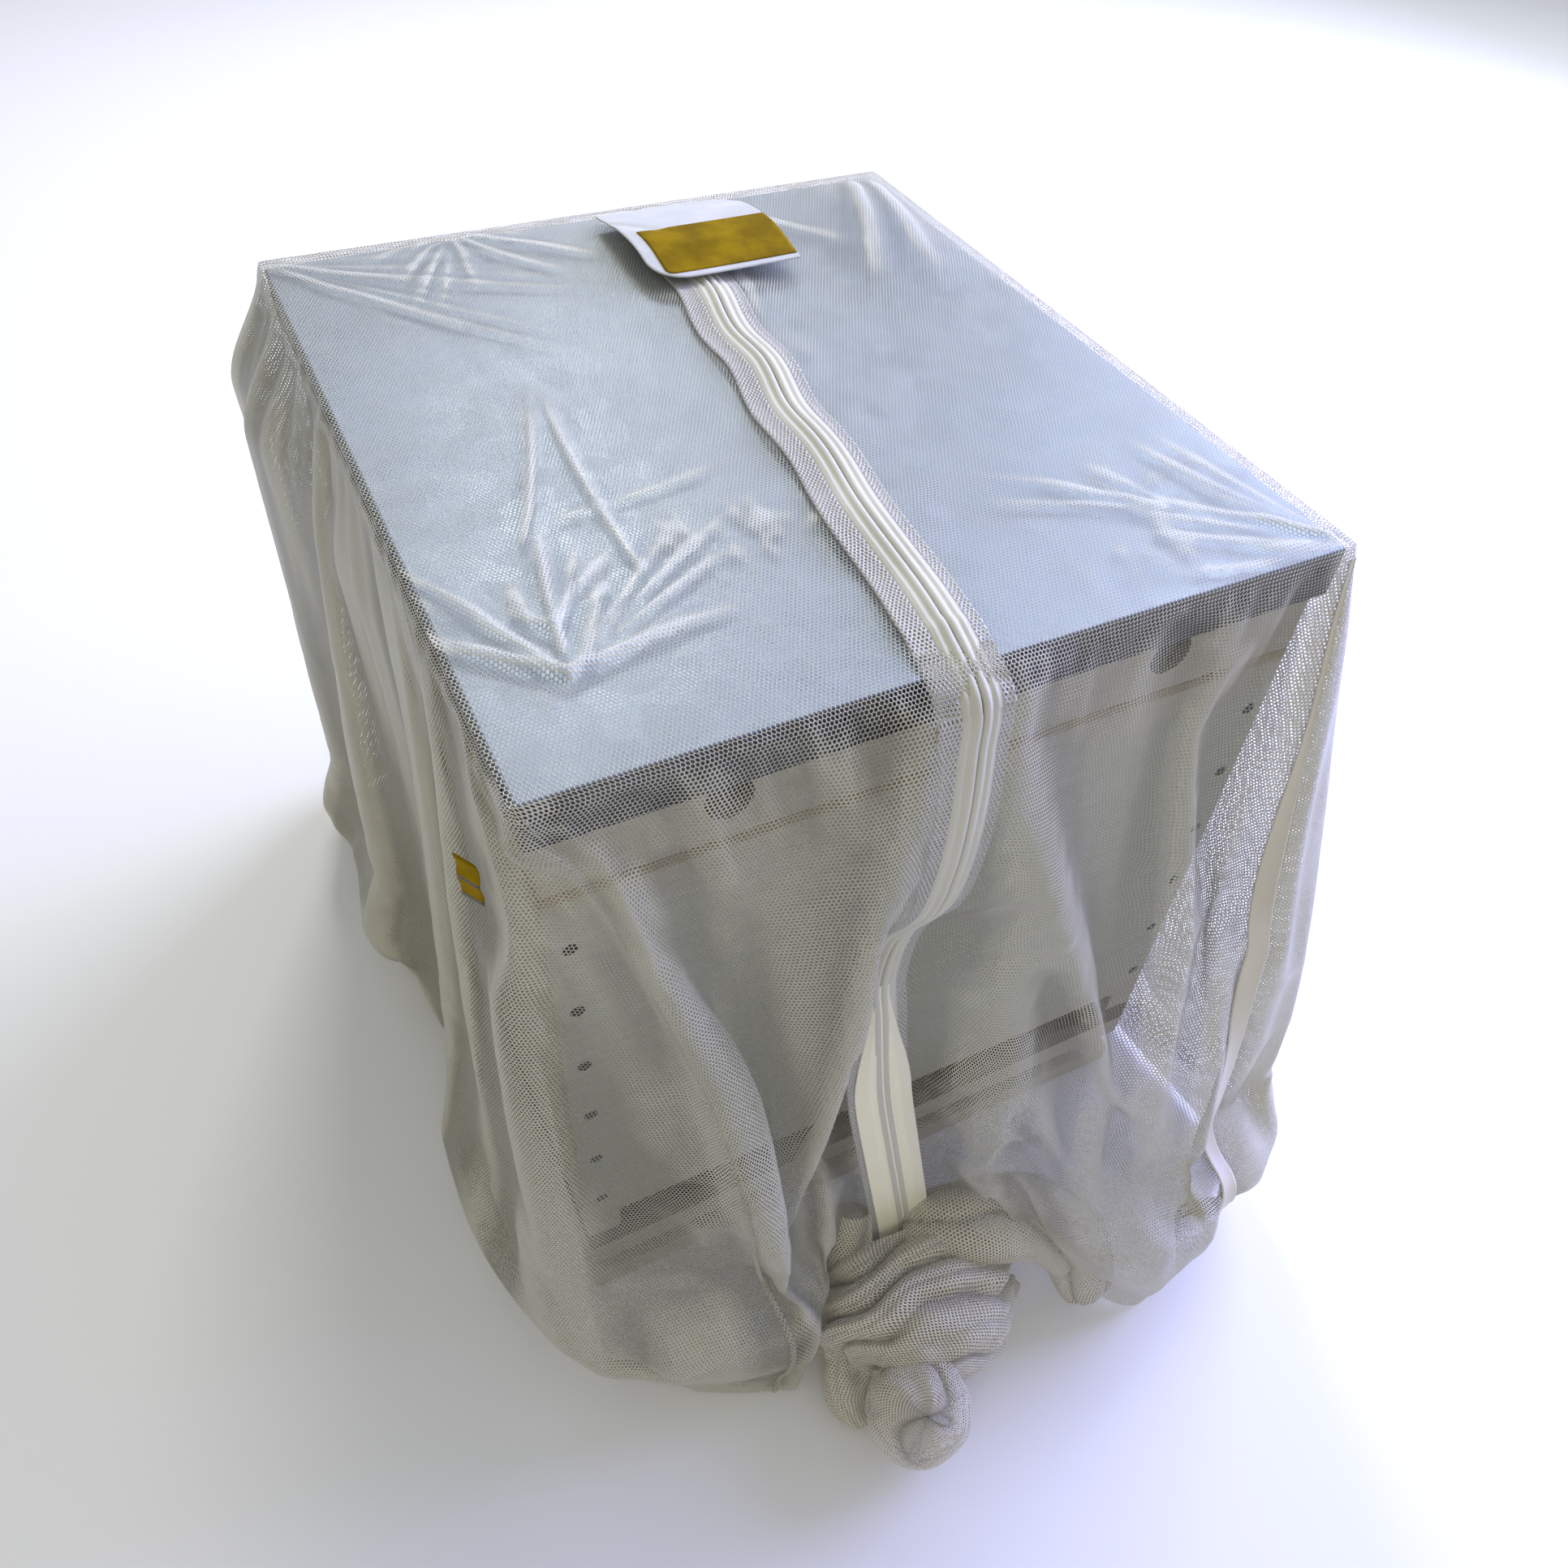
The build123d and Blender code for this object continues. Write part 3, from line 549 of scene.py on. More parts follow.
# The zip's centre line down the front, in millimetres, from the lid's edge to the floor.
ZIP_FRONT_PATH = (
    (-10, -253, 503),
    (-12, -266, 494),
    (-16, -276, 470),
    (-19, -283, 440),
    (-22, -286, 405),
    (-28, -285, 372),
    (-40, -275, 345),
    (-50, -280, 318),
    (-49, -286, 285),
    (-43, -293, 215),
    (-35, -303, 155),
    (-24, -315, 80),
    (-18, -323, 30),
    (-16, -328, 8),
)


def ring_distance(x, y):
    """Distance along the lid's edge from the front left corner, in metres."""
    width, depth = RIGHT - LEFT, BACK - FRONT
    if y <= FRONT + 1e-6:
        return x - LEFT
    if x >= RIGHT - 1e-6:
        return width + y - FRONT
    if y >= BACK - 1e-6:
        return width + depth + RIGHT - x
    return 2 * width + depth + BACK - y


def hem_start(distance, guides):
    """Where the hem starts for a distance along the lid's edge, on a smooth curve through the guides."""
    count = len(guides)
    for n in range(count):
        here, after = guides[n][0], guides[(n + 1) % count][0]
        if n == count - 1:
            after += RING_LENGTH
        if here <= distance <= after:
            around = [guides[(n + m) % count][1] for m in (-1, 0, 1, 2)]
            return spline(around, (1 + (distance - here) / (after - here)) / 3)
    return guides[0][1].copy()


def fold_wave(distance):
    """Seeds of the hanging folds, from -1 to 1, of uneven pitch along the lid's edge."""
    wave = (
        sin(2 * pi * distance / 0.104 + 1.3)
        + 0.45 * sin(2 * pi * distance / 0.063 + 0.4)
        + 0.35 * sin(2 * pi * distance / 0.151 + 2.2)
    )
    return wave / 1.8


def drape_start(ring):
    """The net before it falls, as columns of points from the lid's edge to the hem."""
    guides = []
    for (lid_x, lid_y), (floor_x, floor_y, floor_z) in HEM_GUIDES:
        x = max(LEFT, min(RIGHT, lid_x * MM))
        y = max(FRONT, min(BACK, lid_y * MM))
        guides.append((ring_distance(x, y), Vector((floor_x, floor_y, floor_z)) * MM))
    zip_line = even_curve([Vector(p) * MM for p in ZIP_FRONT_PATH], ROWS)
    columns = []
    for i, j in ring:
        top = lid_point(i, j)
        distance = ring_distance(top.x, top.y)
        hem = hem_start(distance, guides)
        out = Vector((hem.x - top.x, hem.y - top.y, 0)).normalized()
        from_zip = abs(top.x - ZIP_FRONT_X) if j == 0 else 1.0
        beside_zip = 1 - smoothstep(BAND_HALF, BAND_HALF + 38 * MM, from_zip)
        fold = gather_fold(distance)
        depth = FRONT_WAVE if j == 0 else SIDE_WAVE
        wave = depth * (fold_wave(distance) - 0.4) * (1 - min(1, fold / (8 * MM)))
        column = []
        for row in range(ROWS + 1):
            t = row / ROWS
            control = Vector((hem.x, hem.y, 0.30 + hem.z * 0.5)) + out * 0.010
            point = top * (1 - t) ** 2 + control * 2 * t * (1 - t) + hem * t * t
            point += out * fold * smoothstep(0.0, 0.45, t) * (1 - 0.5 * t)
            point += out * wave * smoothstep(0.05 if j == 0 else 0.22, 0.85, t)
            point += out * 0.012 * sin(pi * smoothstep(0.75, 1.0, t))
            by_zip = zip_line[row] + Vector((top.x - ZIP_FRONT_X, 0, 0))
            column.append(point.lerp(by_zip, beside_zip))
        columns.append(column)
    return columns


def gather_fold(distance):
    """How far the folds that run down to the gather stand out at this place along the lid's edge."""
    signed = (distance if distance < RING_LENGTH / 2 else distance - RING_LENGTH) / MM
    return sum(tall * MM * exp(-(((signed - place) / wide) ** 2)) for place, wide, tall in GATHER_FOLDS)


# ============================ letting it fall ============================
def collider(name, low, high):
    """A box the cloth can't enter."""
    (x0, y0, z0), (x1, y1, z1) = low, high
    corners = [(x, y, z) for x in (x0, x1) for y in (y0, y1) for z in (z0, z1)]
    faces = [(0, 1, 3, 2), (4, 6, 7, 5), (0, 4, 5, 1), (2, 3, 7, 6), (0, 2, 6, 4), (1, 5, 7, 3)]
    box = mesh_object(name, corners, faces)
    box.modifiers.new("solid", "COLLISION")
    box.collision.thickness_outer = 2 * MM
    box.collision.thickness_inner = 20 * MM
    box.collision.cloth_friction = 8
    return box


def settle(piece, pinned, frames):
    """Runs the cloth simulation on the piece and returns where its points come to rest."""
    scene = bpy.context.scene
    scene.frame_start, scene.frame_end = 1, frames
    colliders = [
        collider("lid_block", (lid_low.x, lid_low.y, lid_low.z), (lid_high.x, lid_high.y, LID_TOP)),
        collider("box_block", (body_low.x, body_low.y, 0), (body_high.x, box_back_high.y, lid_low.z)),
        collider("floor_block", (-1, -1, -0.1), (1, 1, 0.001)),
    ]
    group = piece.vertex_groups.new(name="pinned")
    group.add(pinned, 1.0, "REPLACE")
    cloth = piece.modifiers.new("fall", "CLOTH")
    settings = cloth.settings
    settings.vertex_group_mass = group.name
    settings.quality = 6
    settings.mass = 0.02
    settings.tension_stiffness = settings.compression_stiffness = 12
    settings.shear_stiffness = 3
    settings.bending_stiffness = 0.3
    settings.tension_damping = settings.compression_damping = 4
    settings.air_damping = 1.5
    settings.shrink_min = -0.035
    cloth.collision_settings.distance_min = 3 * MM
    cloth.collision_settings.use_self_collision = False
    cloth.point_cache.frame_start, cloth.point_cache.frame_end = 1, frames
    for moment in range(1, frames + 1):
        scene.frame_set(moment)
    graph = bpy.context.evaluated_depsgraph_get()
    settled = piece.evaluated_get(graph).to_mesh()
    points = [v.co.copy() for v in settled.vertices]
    piece.evaluated_get(graph).to_mesh_clear()
    for box in colliders:
        bpy.data.objects.remove(box, do_unlink=True)
    piece.modifiers.remove(cloth)
    scene.frame_set(1)
    return points


def skirt_object(name, columns):
    """The hanging net as a mesh of its columns."""
    height = ROWS + 1
    faces = []
    for n in range(len(columns)):
        here, after = n * height, (n + 1) % len(columns) * height
        faces += [(here + row, here + row + 1, after + row + 1, after + row) for row in range(ROWS)]
    return mesh_object(name, [point for column in columns for point in column], faces)


def settled_columns():
    """The skirt's columns after it has fallen and its folds have been shaped."""
    ring = lid_ring()
    columns = drape_start(ring)
    height = ROWS + 1
    skirt = skirt_object("falling", columns)
    pinned = []
    for n, (i, j) in enumerate(ring):
        top = lid_point(i, j)
        by_zip = j == 0 and abs(top.x - ZIP_FRONT_X) < ZIP_HALF + 2 * MM
        pinned += range(n * height, (n + 1) * height) if by_zip else (n * height, n * height + ROWS)
    fallen = settle(skirt, pinned, FALL_FRAMES)
    bpy.data.objects.remove(skirt, do_unlink=True)
    for point in fallen:
        billow_out(point)
        fold_front(point)
        tuck_behind_tag(point)
    fallen = [fallen[n * height:(n + 1) * height] for n in range(len(ring))]
    for n, (i, j) in enumerate(ring):
        from_corner = (lid_point(i, j) - Vector((RIGHT, FRONT, NET_ON_LID))).length
        near_seam = exp(-((from_corner / (16 * MM)) ** 2))
        for point in fallen[n]:
            out = near_seam * smoothstep(0.0, 0.08, point.z)
            point += SEAM_PULL * out * smoothstep(LID_TOP, 0.40, point.z)
    return fallen


def fold_front(point):
    """Raises the long folds that run down the front to the gather."""
    if point.y > FRONT - 4 * MM:
        return
    outward = Vector((point.x, point.y, 0)).normalized()
    lift, fade_top, fade_foot = 0.0, 90 * MM, 30 * MM
    for path, width, height in FRONT_FOLDS:
        top, foot = path[0][1] * MM, path[-1][1] * MM
        if not foot - fade_foot < point.z < top:
            continue
        level = point.z / MM
        upper = next((n for n in range(len(path) - 1) if path[n + 1][1] <= level), len(path) - 2)
        (x0, z0), (x1, z1) = path[upper], path[upper + 1]
        across = point.x / MM - (x0 + (x1 - x0) * (level - z0) / (z1 - z0))
        fade = smoothstep(top, top - fade_top, point.z)
        fade *= smoothstep(foot - fade_foot, foot + 20 * MM, point.z)
        lift += height * MM * fade * exp(-((across / width) ** 2))
    point += outward * lift


def billow_out(point):
    """Lets the loose net on the left stand out below the lid's edge, most of all at the back corner."""
    outside = smoothstep(LEFT + 30 * MM, LEFT - 3 * MM, point.x)
    below = LID_TOP - point.z
    if outside == 0 or not 0 < below < BILLOW_DROP:
        return
    swell = smoothstep(0, 80 * MM, below) * (1 - below / BILLOW_DROP)
    back = smoothstep(0.08, 0.17, point.y)
    middle = exp(-(((point.y - 0.03) / 0.05) ** 2))
    point.x -= outside * swell * (32 * MM * back + 16 * MM * middle)


def tuck_behind_tag(point):
    """Presses the net in behind the tag, so that the tag hangs outside it."""
    middle = (tag_low + tag_high) / 2
    away = hypot(point.y - middle.y, 0.7 * (point.z - middle.z))
    behind = tag_low.x + 4 * MM
    if point.x < behind:
        point.x += (behind - point.x) * (1 - smoothstep(22 * MM, 52 * MM, away))


def skirt_at(columns, column, row):
    """A point of the skirt at any place between its columns and rows."""
    column %= len(columns)
    n, m = int(column), min(ROWS - 1, int(row))
    after = (n + 1) % len(columns)
    near = columns[n][m].lerp(columns[n][m + 1], row - m)
    far = columns[after][m].lerp(columns[after][m + 1], row - m)
    return near.lerp(far, column - n)


def side_layers(n, count):
    """How doubled the hanging net is at column n: single in front, and more and more so along the left."""
    if n < CELLS_ACROSS:
        return 0.0
    if n < count - CELLS_DEEP:
        return RIGHT_LAYERS
    behind_corner = (count - n) * (BACK - FRONT) / CELLS_DEEP
    return LEFT_LAYERS * smoothstep(70 * MM, 200 * MM, behind_corner)


def shade_skirt(skirt, columns):
    """Stores how bunched the net is, and how far each point stands out from its surroundings, pushed down at
    the back left and in the bag at the lower left as painted shade.
    """
    count = len(columns)
    reach = 3
    bag_layers, bag_shade, back_shade = 0.25, 0.55, 0.8
    bunched, relief_and_painted_light = [], []
    for n in range(count):
        spacing = (columns[(n + 1) % count][0] - columns[n - 1][0]).length
        for row in range(ROWS + 1):
            here = columns[n][row]
            now = (columns[(n + 1) % count][row] - columns[n - 1][row]).length
            doubled = side_layers(n, count) * smoothstep(0.0, 0.10, row / ROWS)
            low_left = smoothstep(0.36, 0.17, here.z) * smoothstep(-88 * MM, -120 * MM, here.x)
            bunched.append(max(doubled, bag_layers * low_left) + max(0.0, 1 - now / spacing))
            around = (columns[n - reach][row] + columns[(n + reach) % count][row]) / 2
            outward = Vector((here.x, here.y, 0)).normalized()
            back_left = smoothstep(0.04, 0.16, here.y) * smoothstep(LEFT + 2 * MM, LEFT - 4 * MM, here.x)
            standing = (here - around).dot(outward) / (5 * MM)
            # painted shade: the back left and the bag at the lower left are pushed towards the darkened
            # valley colour
            standing = min(0.35, standing - back_shade * back_left - bag_shade * low_left)
            relief_and_painted_light.append(max(-1 + 0.3 * low_left, standing))
    store(skirt, "layers", bunched)
    store(skirt, "relief_and_painted_light", relief_and_painted_light)


def build_skirt(columns):
    """The hanging part of the net, with its cloth coordinates laid out side by side."""
    count = len(columns)
    height = ROWS + 1
    skirt = skirt_object("net_skirt", columns)
    corners = (0, CELLS_ACROSS, CELLS_ACROSS + CELLS_DEEP, 2 * CELLS_ACROSS + CELLS_DEEP, count)
    layer = skirt.data.uv_layers.new(name="net")
    down = [[0.0] * height for _ in range(count)]
    for n in range(count):
        for row in range(1, height):
            down[n][row] = down[n][row - 1] + (columns[n][row] - columns[n][row - 1]).length
    across = {}
    for side in range(4):
        first, last = corners[side], corners[side + 1]
        middle = (first + last) // 2
        for row in range(height):
            reach = 0.0
            across[side, middle, row] = 0.0
            for n in range(middle, last):
                reach += (columns[(n + 1) % count][row] - columns[n][row]).length
                across[side, n + 1, row] = reach
            reach = 0.0
            for n in range(middle, first, -1):
                reach -= (columns[n][row] - columns[n - 1][row]).length
                across[side, n - 1, row] = reach
    loop = 0
    for n in range(count):
        side = next(k for k in range(4) if n < corners[k + 1])
        for row in range(ROWS):
            for column, level in ((n, row), (n, row + 1), (n + 1, row + 1), (n + 1, row)):
                layer.data[loop].uv = (across[side, column, level] + side, down[column % count][level])
                loop += 1
    shade_skirt(skirt, columns)
    smooth = skirt.modifiers.new("smooth", "SUBSURF")
    smooth.levels = smooth.render_levels = 1
    return skirt


# ============================ the net on the lid ============================
# Long creases, in millimetres: (start, end, half width, height).
CREASES = (
    ((-119, -143), (-108, 62), 3.5, 0.9),
    ((-165, -95), (-113, 62), 4, 0.8),
    ((-150, -80), (-30, -60), 4, 0.5),
    ((190, 230), (120, 60), 10, 2.2),
    ((205, 230), (170, 60), 9, 1.8),
    ((60, 150), (40, 60), 6, 1.0),
    ((30, 190), (60, 90), 6, 1.0),
    ((95, 215), (150, 120), 7, 1.1),
)

# Fans of wrinkles, in millimetres and degrees:
# (centre, first angle, last angle, number, shortest, longest, height).
FANS = (
    ((-176, -192), 2, 150, 19, 60, 150, 0.85),
    ((-172, -160), 20, 130, 7, 40, 90, 0.6),
    ((-101, 250), -165, -10, 12, 50, 120, 0.75),
    ((-222, 245), -62, -12, 11, 150, 260, 0.45),
    ((216, -250), 98, 175, 11, 50, 150, 0.8),
    ((150, -190), 100, 160, 5, 50, 110, 0.5),
)


def fan(centre, first, last, rays, shortest, longest, height):
    """Wrinkles that spread from one point, uneven in angle, length and height."""
    spread = []
    for n in range(rays):
        uneven = noise.noise(Vector((n * 1.73, centre[0] * 0.031, centre[1] * 0.027)))
        angle = radians(first + (last - first) * (n + 0.5 + 0.9 * uneven) / rays)
        length = shortest + (longest - shortest) * (0.5 + 0.5 * sin(5.1 * n + centre[0]))
        end = (centre[0] + length * cos(angle), centre[1] + length * sin(angle))
        spread.append((centre, end, 3.2 + 2.0 * abs(uneven), height * (0.8 + 0.5 * uneven)))
    return spread


WRINKLES = list(CREASES)
for one in FANS:
    WRINKLES += fan(*one)


def wrinkle_height(x, y):
    """How far the net stands off the lid at this place."""
    total = 0.0
    for (x0, y0), (x1, y1), width, height in WRINKLES:
        dx, dy = x1 - x0, y1 - y0
        span = dx * dx + dy * dy
        t = ((x / MM - x0) * dx + (y / MM - y0) * dy) / span
        if not -0.1 < t < 1.1:
            continue
        bend = 5 * sin(pi * t) * sin(x1 * 0.7 + y1)
        off = ((x / MM - x0) * dy - (y / MM - y0) * dx) / span**0.5 - bend
        wide = width * (0.6 + 0.9 * t)
        if abs(off) > 3 * wide:
            continue
        fade = smoothstep(-0.05, 0.15, t) * smoothstep(1.05, 0.6, t)
        total += height * exp(-((off / wide) ** 2)) * fade
    billow = 10 * exp(-(((x / MM - 180) / 38) ** 2) - ((y / MM - 160) / 80) ** 2)
    rumple = noise.noise(Vector((x * 28, y * 16, 3.0))) + 0.5 * noise.noise(Vector((x * 60, y * 40, 7.0)))
    return (2.0 * min(total, 3.0) + billow + 0.6 * (rumple + 0.6)) * MM


# Where the net catches the window's light: (centre, half width, half depth) in millimetres.
GLINTS = (((-150, -150), 75, 42), ((150, -190), 60, 50), ((-60, -120), 60, 30))


def glint(x, y):
    """How strongly the net's threads shine here, in streaks."""
    streaks = noise.noise(Vector((x * 46, y * 30, 11.0))) + 0.6 * noise.noise(Vector((x * 120, y * 90, 5.0)))
    x, y = x / MM, y / MM
    near = sum(exp(-(((x - u) / wide) ** 2) - ((y - v) / deep) ** 2) for (u, v), wide, deep in GLINTS)
    return 1.1 * max(0.0, streaks + 0.1) * min(1.0, near)


def zip_on_top(y):
    """The zip's centre on the lid at this Y, with the slow waves the loose net gives it."""
    t = (y - FRONT) / (ZIP_BACK - FRONT)
    x = ZIP_FRONT_X + ZIP_LEAN * t
    x += ZIP_WAVE * sin(2 * pi * y / 0.105 + 0.6) * smoothstep(0, 0.2, t)
    lift = 1.2 * MM * (1 + sin(2 * pi * y / 0.082))
    return Vector((x, y, NET_ON_LID + 1.0 * MM + lift * smoothstep(0, 0.15, t)))


def build_top():
    """The part of the net that lies on the lid, wrinkled, and flat under the zip."""
    across = round((RIGHT - LEFT) / TOP_CELL)
    deep = round((BACK - FRONT) / TOP_CELL)
    line_up = across + 1
    points, places, standing = [], [], []
    for j in range(deep + 1):
        for i in range(across + 1):
            x = LEFT + (RIGHT - LEFT) * i / across
            y = FRONT + (BACK - FRONT) * j / deep
            rim = min(x - LEFT, RIGHT - x, y - FRONT, BACK - y)
            inside = smoothstep(0, 14 * MM, rim)
            wrinkle = wrinkle_height(x, y)
            height = wrinkle * inside
            if y < ZIP_BACK:
                line = zip_on_top(y)
                under = 1 - smoothstep(BAND_HALF, BAND_HALF + 20 * MM, abs(x - line.x))
                height += (line.z - 0.6 * MM - NET_ON_LID - height) * under * inside
            points.append((x, y, NET_ON_LID + height))
            places.append((x, y))
            standing.append(wrinkle)
    relief_and_painted_light = []
    for j in range(deep + 1):
        for i in range(across + 1):
            near = [(i - 3, j), (i + 3, j), (i, j - 3), (i, j + 3)]
            near = [(max(0, min(across, p)), max(0, min(deep, q))) for p, q in near]
            around = sum(standing[q * line_up + p] for p, q in near) / 4
            here = standing[j * line_up + i]
            x, y = places[j * line_up + i]
            # ridges are stored to be whitened as painted highlight and hollows darkened as painted shade;
            # the glint streaks add painted highlight
            relief_and_painted_light.append(max(-0.5, min(1, (here - around) / (0.9 * MM) + glint(x, y))))
    corners = [j * line_up + i for j in range(deep) for i in range(across)]
    faces = [(n, n + 1, n + line_up + 1, n + line_up) for n in corners]
    top = mesh_object("net_top", points, faces)
    store(top, "relief_and_painted_light", relief_and_painted_light)
    lay_cloth(top, places)
    return top


# ============================ strips that follow the net ============================
def strip(name, frames, profile):
    """A closed band: frames of (centre, side, normal), and a profile of (side, bottom, top) across it."""
    points, places = [], []
    reach = 0.0
    for n, (centre, side, normal) in enumerate(frames):
        if n:
            reach += (centre - frames[n - 1][0]).length
        for across, _, top in profile:
            points.append(centre + side * across + normal * top)
            places.append((across, reach))
        for across, bottom, _ in reversed(profile):
            points.append(centre + side * across + normal * bottom)
            places.append((across, reach))
    rings, around = len(frames) - 1, 2 * len(profile)
    band = mesh_object(name, points, tube_faces(rings, around) + end_caps(rings, around))
    lay_cloth(band, places)
    return band


def zip_frames():
    """Centre, side and normal along the zip, from its back end over the lid's edge to the floor."""
    line = []
    y = ZIP_BACK
    while y > FRONT + 10 * MM:
        line.append(zip_on_top(y))
        y -= 4 * MM
    down = [Vector(p) * MM for p in ZIP_FRONT_PATH][1:]
    whole = even_curve(line[::3] + down, int(ZIP_LENGTH / ZIP_STEP))
    frames = []
    for n, centre in enumerate(whole):
        ahead = whole[min(len(whole) - 1, n + 3)] - whole[max(0, n - 3)]
        side = ahead.cross(Vector((0, -0.6, 0.8)) if centre.z > 0.49 else Vector((0, -1, 0.05)))
        side = Vector((abs(side.x), side.y * (1 if side.x > 0 else -1), 0)).normalized()
        frames.append((centre, side, side.cross(ahead.normalized()).normalized()))
    out = Vector((0, -1, 1))
    return [(c, s, n if n.z > -0.2 and n.dot(out) > 0 else -n) for c, s, n in frames]


# Across one tape from the middle, in millimetres: (distance, height). The inner edge is a raised fold.
TAPE_PROFILE = (
    (0.2, 0.7), (0.7, 1.9), (1.8, 2.6), (3.3, 2.5), (4.4, 1.6), (5.0, 0.9), (5.9, 0.8), (6.6, 1.3),
    (7.6, 1.5), (8.4, 1.2), (9.0, 0.8), (11.0, 0.7),
)
BAND_PROFILE = (
    (9.4, 0.35), (11.0, 0.8), (12.4, 1.1), (13.6, 0.8), (17.0, 0.6), (20.5, 0.6), (22.0, 0.9), (23.2, 0.4),
)
BAND_START = BAND_PROFILE[0][0]
# Across the doubled tape at the zip's foot, with its two stitched ridges on either side.
FOOT_PROFILE = (
    (-19, 0.2), (-18.4, 0.6), (-12, 0.6), (-11, 1.2), (-10, 0.6), (-6, 0.6), (-5.2, 1.1), (-4.4, 0.6),
    (4.4, 0.6), (5.2, 1.1), (6, 0.6), (10, 0.6), (11, 1.2), (12, 0.6), (18.4, 0.6), (19, 0.2),
)


def build_zip():
    """Both tapes, both coils, and the bands of doubled net the tapes are sewn to."""
    frames = zip_frames()
    for name, sign, node in (("zip_tape_a", -1, "zip_tape_left"), ("zip_tape_b", 1, "zip_tape_right")):
        profile = [(sign * a * MM, (h - 0.6) * MM, h * MM) for a, h in TAPE_PROFILE]
        tape = strip(name, frames, profile[::sign])
        dress(tape, zip_tape_look, "zip_tape", "veil", node)
    for name, sign, stretch in (("zip_band_a", -1, 1.0), ("zip_band_b", 1, 0.55)):
        profile = [
            (sign * (BAND_START + (a - BAND_START) * stretch) * MM, 0.0, h * MM) for a, h in BAND_PROFILE
        ]
        dress(strip(name, frames, profile[::sign]), band_look, "net_fabric", "veil")
    foot = [
        (c + n * 1.0 * MM, side * (0.30 + 0.70 * smoothstep(FOOT_TOP, FOOT_TOP - 0.10, c.z)), n)
        for c, side, n in frames
        if c.z < FOOT_TOP
    ]
    backing = strip("zip_foot_tape", foot, [(a * MM, -0.3 * MM, h * MM) for a, h in FOOT_PROFILE])
    dress(backing, foot_look, "zip_tape", "veil")
    for name, sign, node in (("zip_coil_a", -1, "zip_coil_left"), ("zip_coil_b", 1, "zip_coil_right")):
        dress(build_coil(name, frames, sign), coil_look, "zip_coil", "veil", node)


def build_coil(name, frames, sign):
    """One row of moulded teeth: a ribbed roll beside the zip's centre line."""
    around, pitch = 8, 3.0 * MM
    points = []
    reach = 0.0
    for n, (centre, side, normal) in enumerate(frames):
        if n:
            reach += (centre - frames[n - 1][0]).length
        rib = 0.86 + 0.14 * cos(2 * pi * reach / pitch + (pi if sign > 0 else 0))
        middle = centre + side * sign * 1.9 * MM + normal * 0.95 * MM
        for m in range(around):
            angle = 2 * pi * m / around
            spoke = side * cos(angle) * 1.5 * MM + normal * sin(angle) * 0.85 * MM
            points.append(middle + spoke * rib)
    rings = len(frames) - 1
    caps = [cap[::-1] for cap in end_caps(rings, around)]
    return mesh_object(name, points, tube_faces(rings, around, flip=True) + caps)


def seam_frames(columns, column, lift):
    """Centre, side and normal down a corner of the net."""
    frames = []
    rows = 2 * ROWS
    for n in range(1, rows + 1):
        row = n / 2
        left = skirt_at(columns, column - 0.9, row)
        right = skirt_at(columns, column + 0.9, row)
        above = skirt_at(columns, column, max(0, row - 0.5))
        below = skirt_at(columns, column, min(ROWS, row + 0.5))
        side = (right - left).normalized()
        normal = side.cross((above - below).normalized()).normalized()
        centre = (left + right) / 2
        outward = Vector((centre.x, centre.y, 0))
        if normal.dot(outward) < 0:
            normal = -normal
        frames.append((centre, side, normal))
    return [even_frame(frames, n, lift) for n in range(rows)]


def even_frame(frames, n, lift):
    """Frame n with its neighbours' kinks averaged out, raised by lift."""
    near = frames[max(0, n - 5):n + 6]
    side = sum((frame[1] for frame in near), Vector()).normalized()
    normal = sum((frame[2] for frame in near), Vector()).normalized()
    near = frames[max(0, n - 2):n + 3]
    centre = sum((frame[0] for frame in near), Vector()) / len(near)
    return centre + normal * lift, side, normal


def build_seams(columns):
    """The seams down the front corners: a thin rolled one on the left, a wide flat binding on the right."""
    rolled = ((-1.8, 0.3), (-1.1, 0.8), (0, 1.1), (1.1, 0.8), (1.8, 0.3))
    flat = ((-6.5, 0.3), (-5.6, 0.9), (-4.6, 0.6), (0, 0.7), (4.6, 0.6), (5.6, 0.9), (6.5, 0.3))
    for name, column, node, shape, look in (
        ("seam_band_left", 0.4, "seam_left", rolled, net_look),
        ("seam_band_right", CELLS_ACROSS - 0.4, "seam_right", flat, seam_look),
    ):
        frames = seam_frames(columns, column, 2.0 * MM)
        frames = [(c, side * (0.25 + 0.75 * smoothstep(0.44, 0.30, c.z)), n) for c, side, n in frames]
        band = strip(name, frames, [(a * MM, 0.0, h * MM) for a, h in shape])
        dress(band, look, "seam_tape", "veil", node)


# ============================ the twist and the knot ============================
def crease(phase, sharpness=0.65):
    """Rounded rolls with sharp valleys between them, from 0 in a valley to 1 on a roll."""
    return abs(sin(phase / 2)) ** sharpness


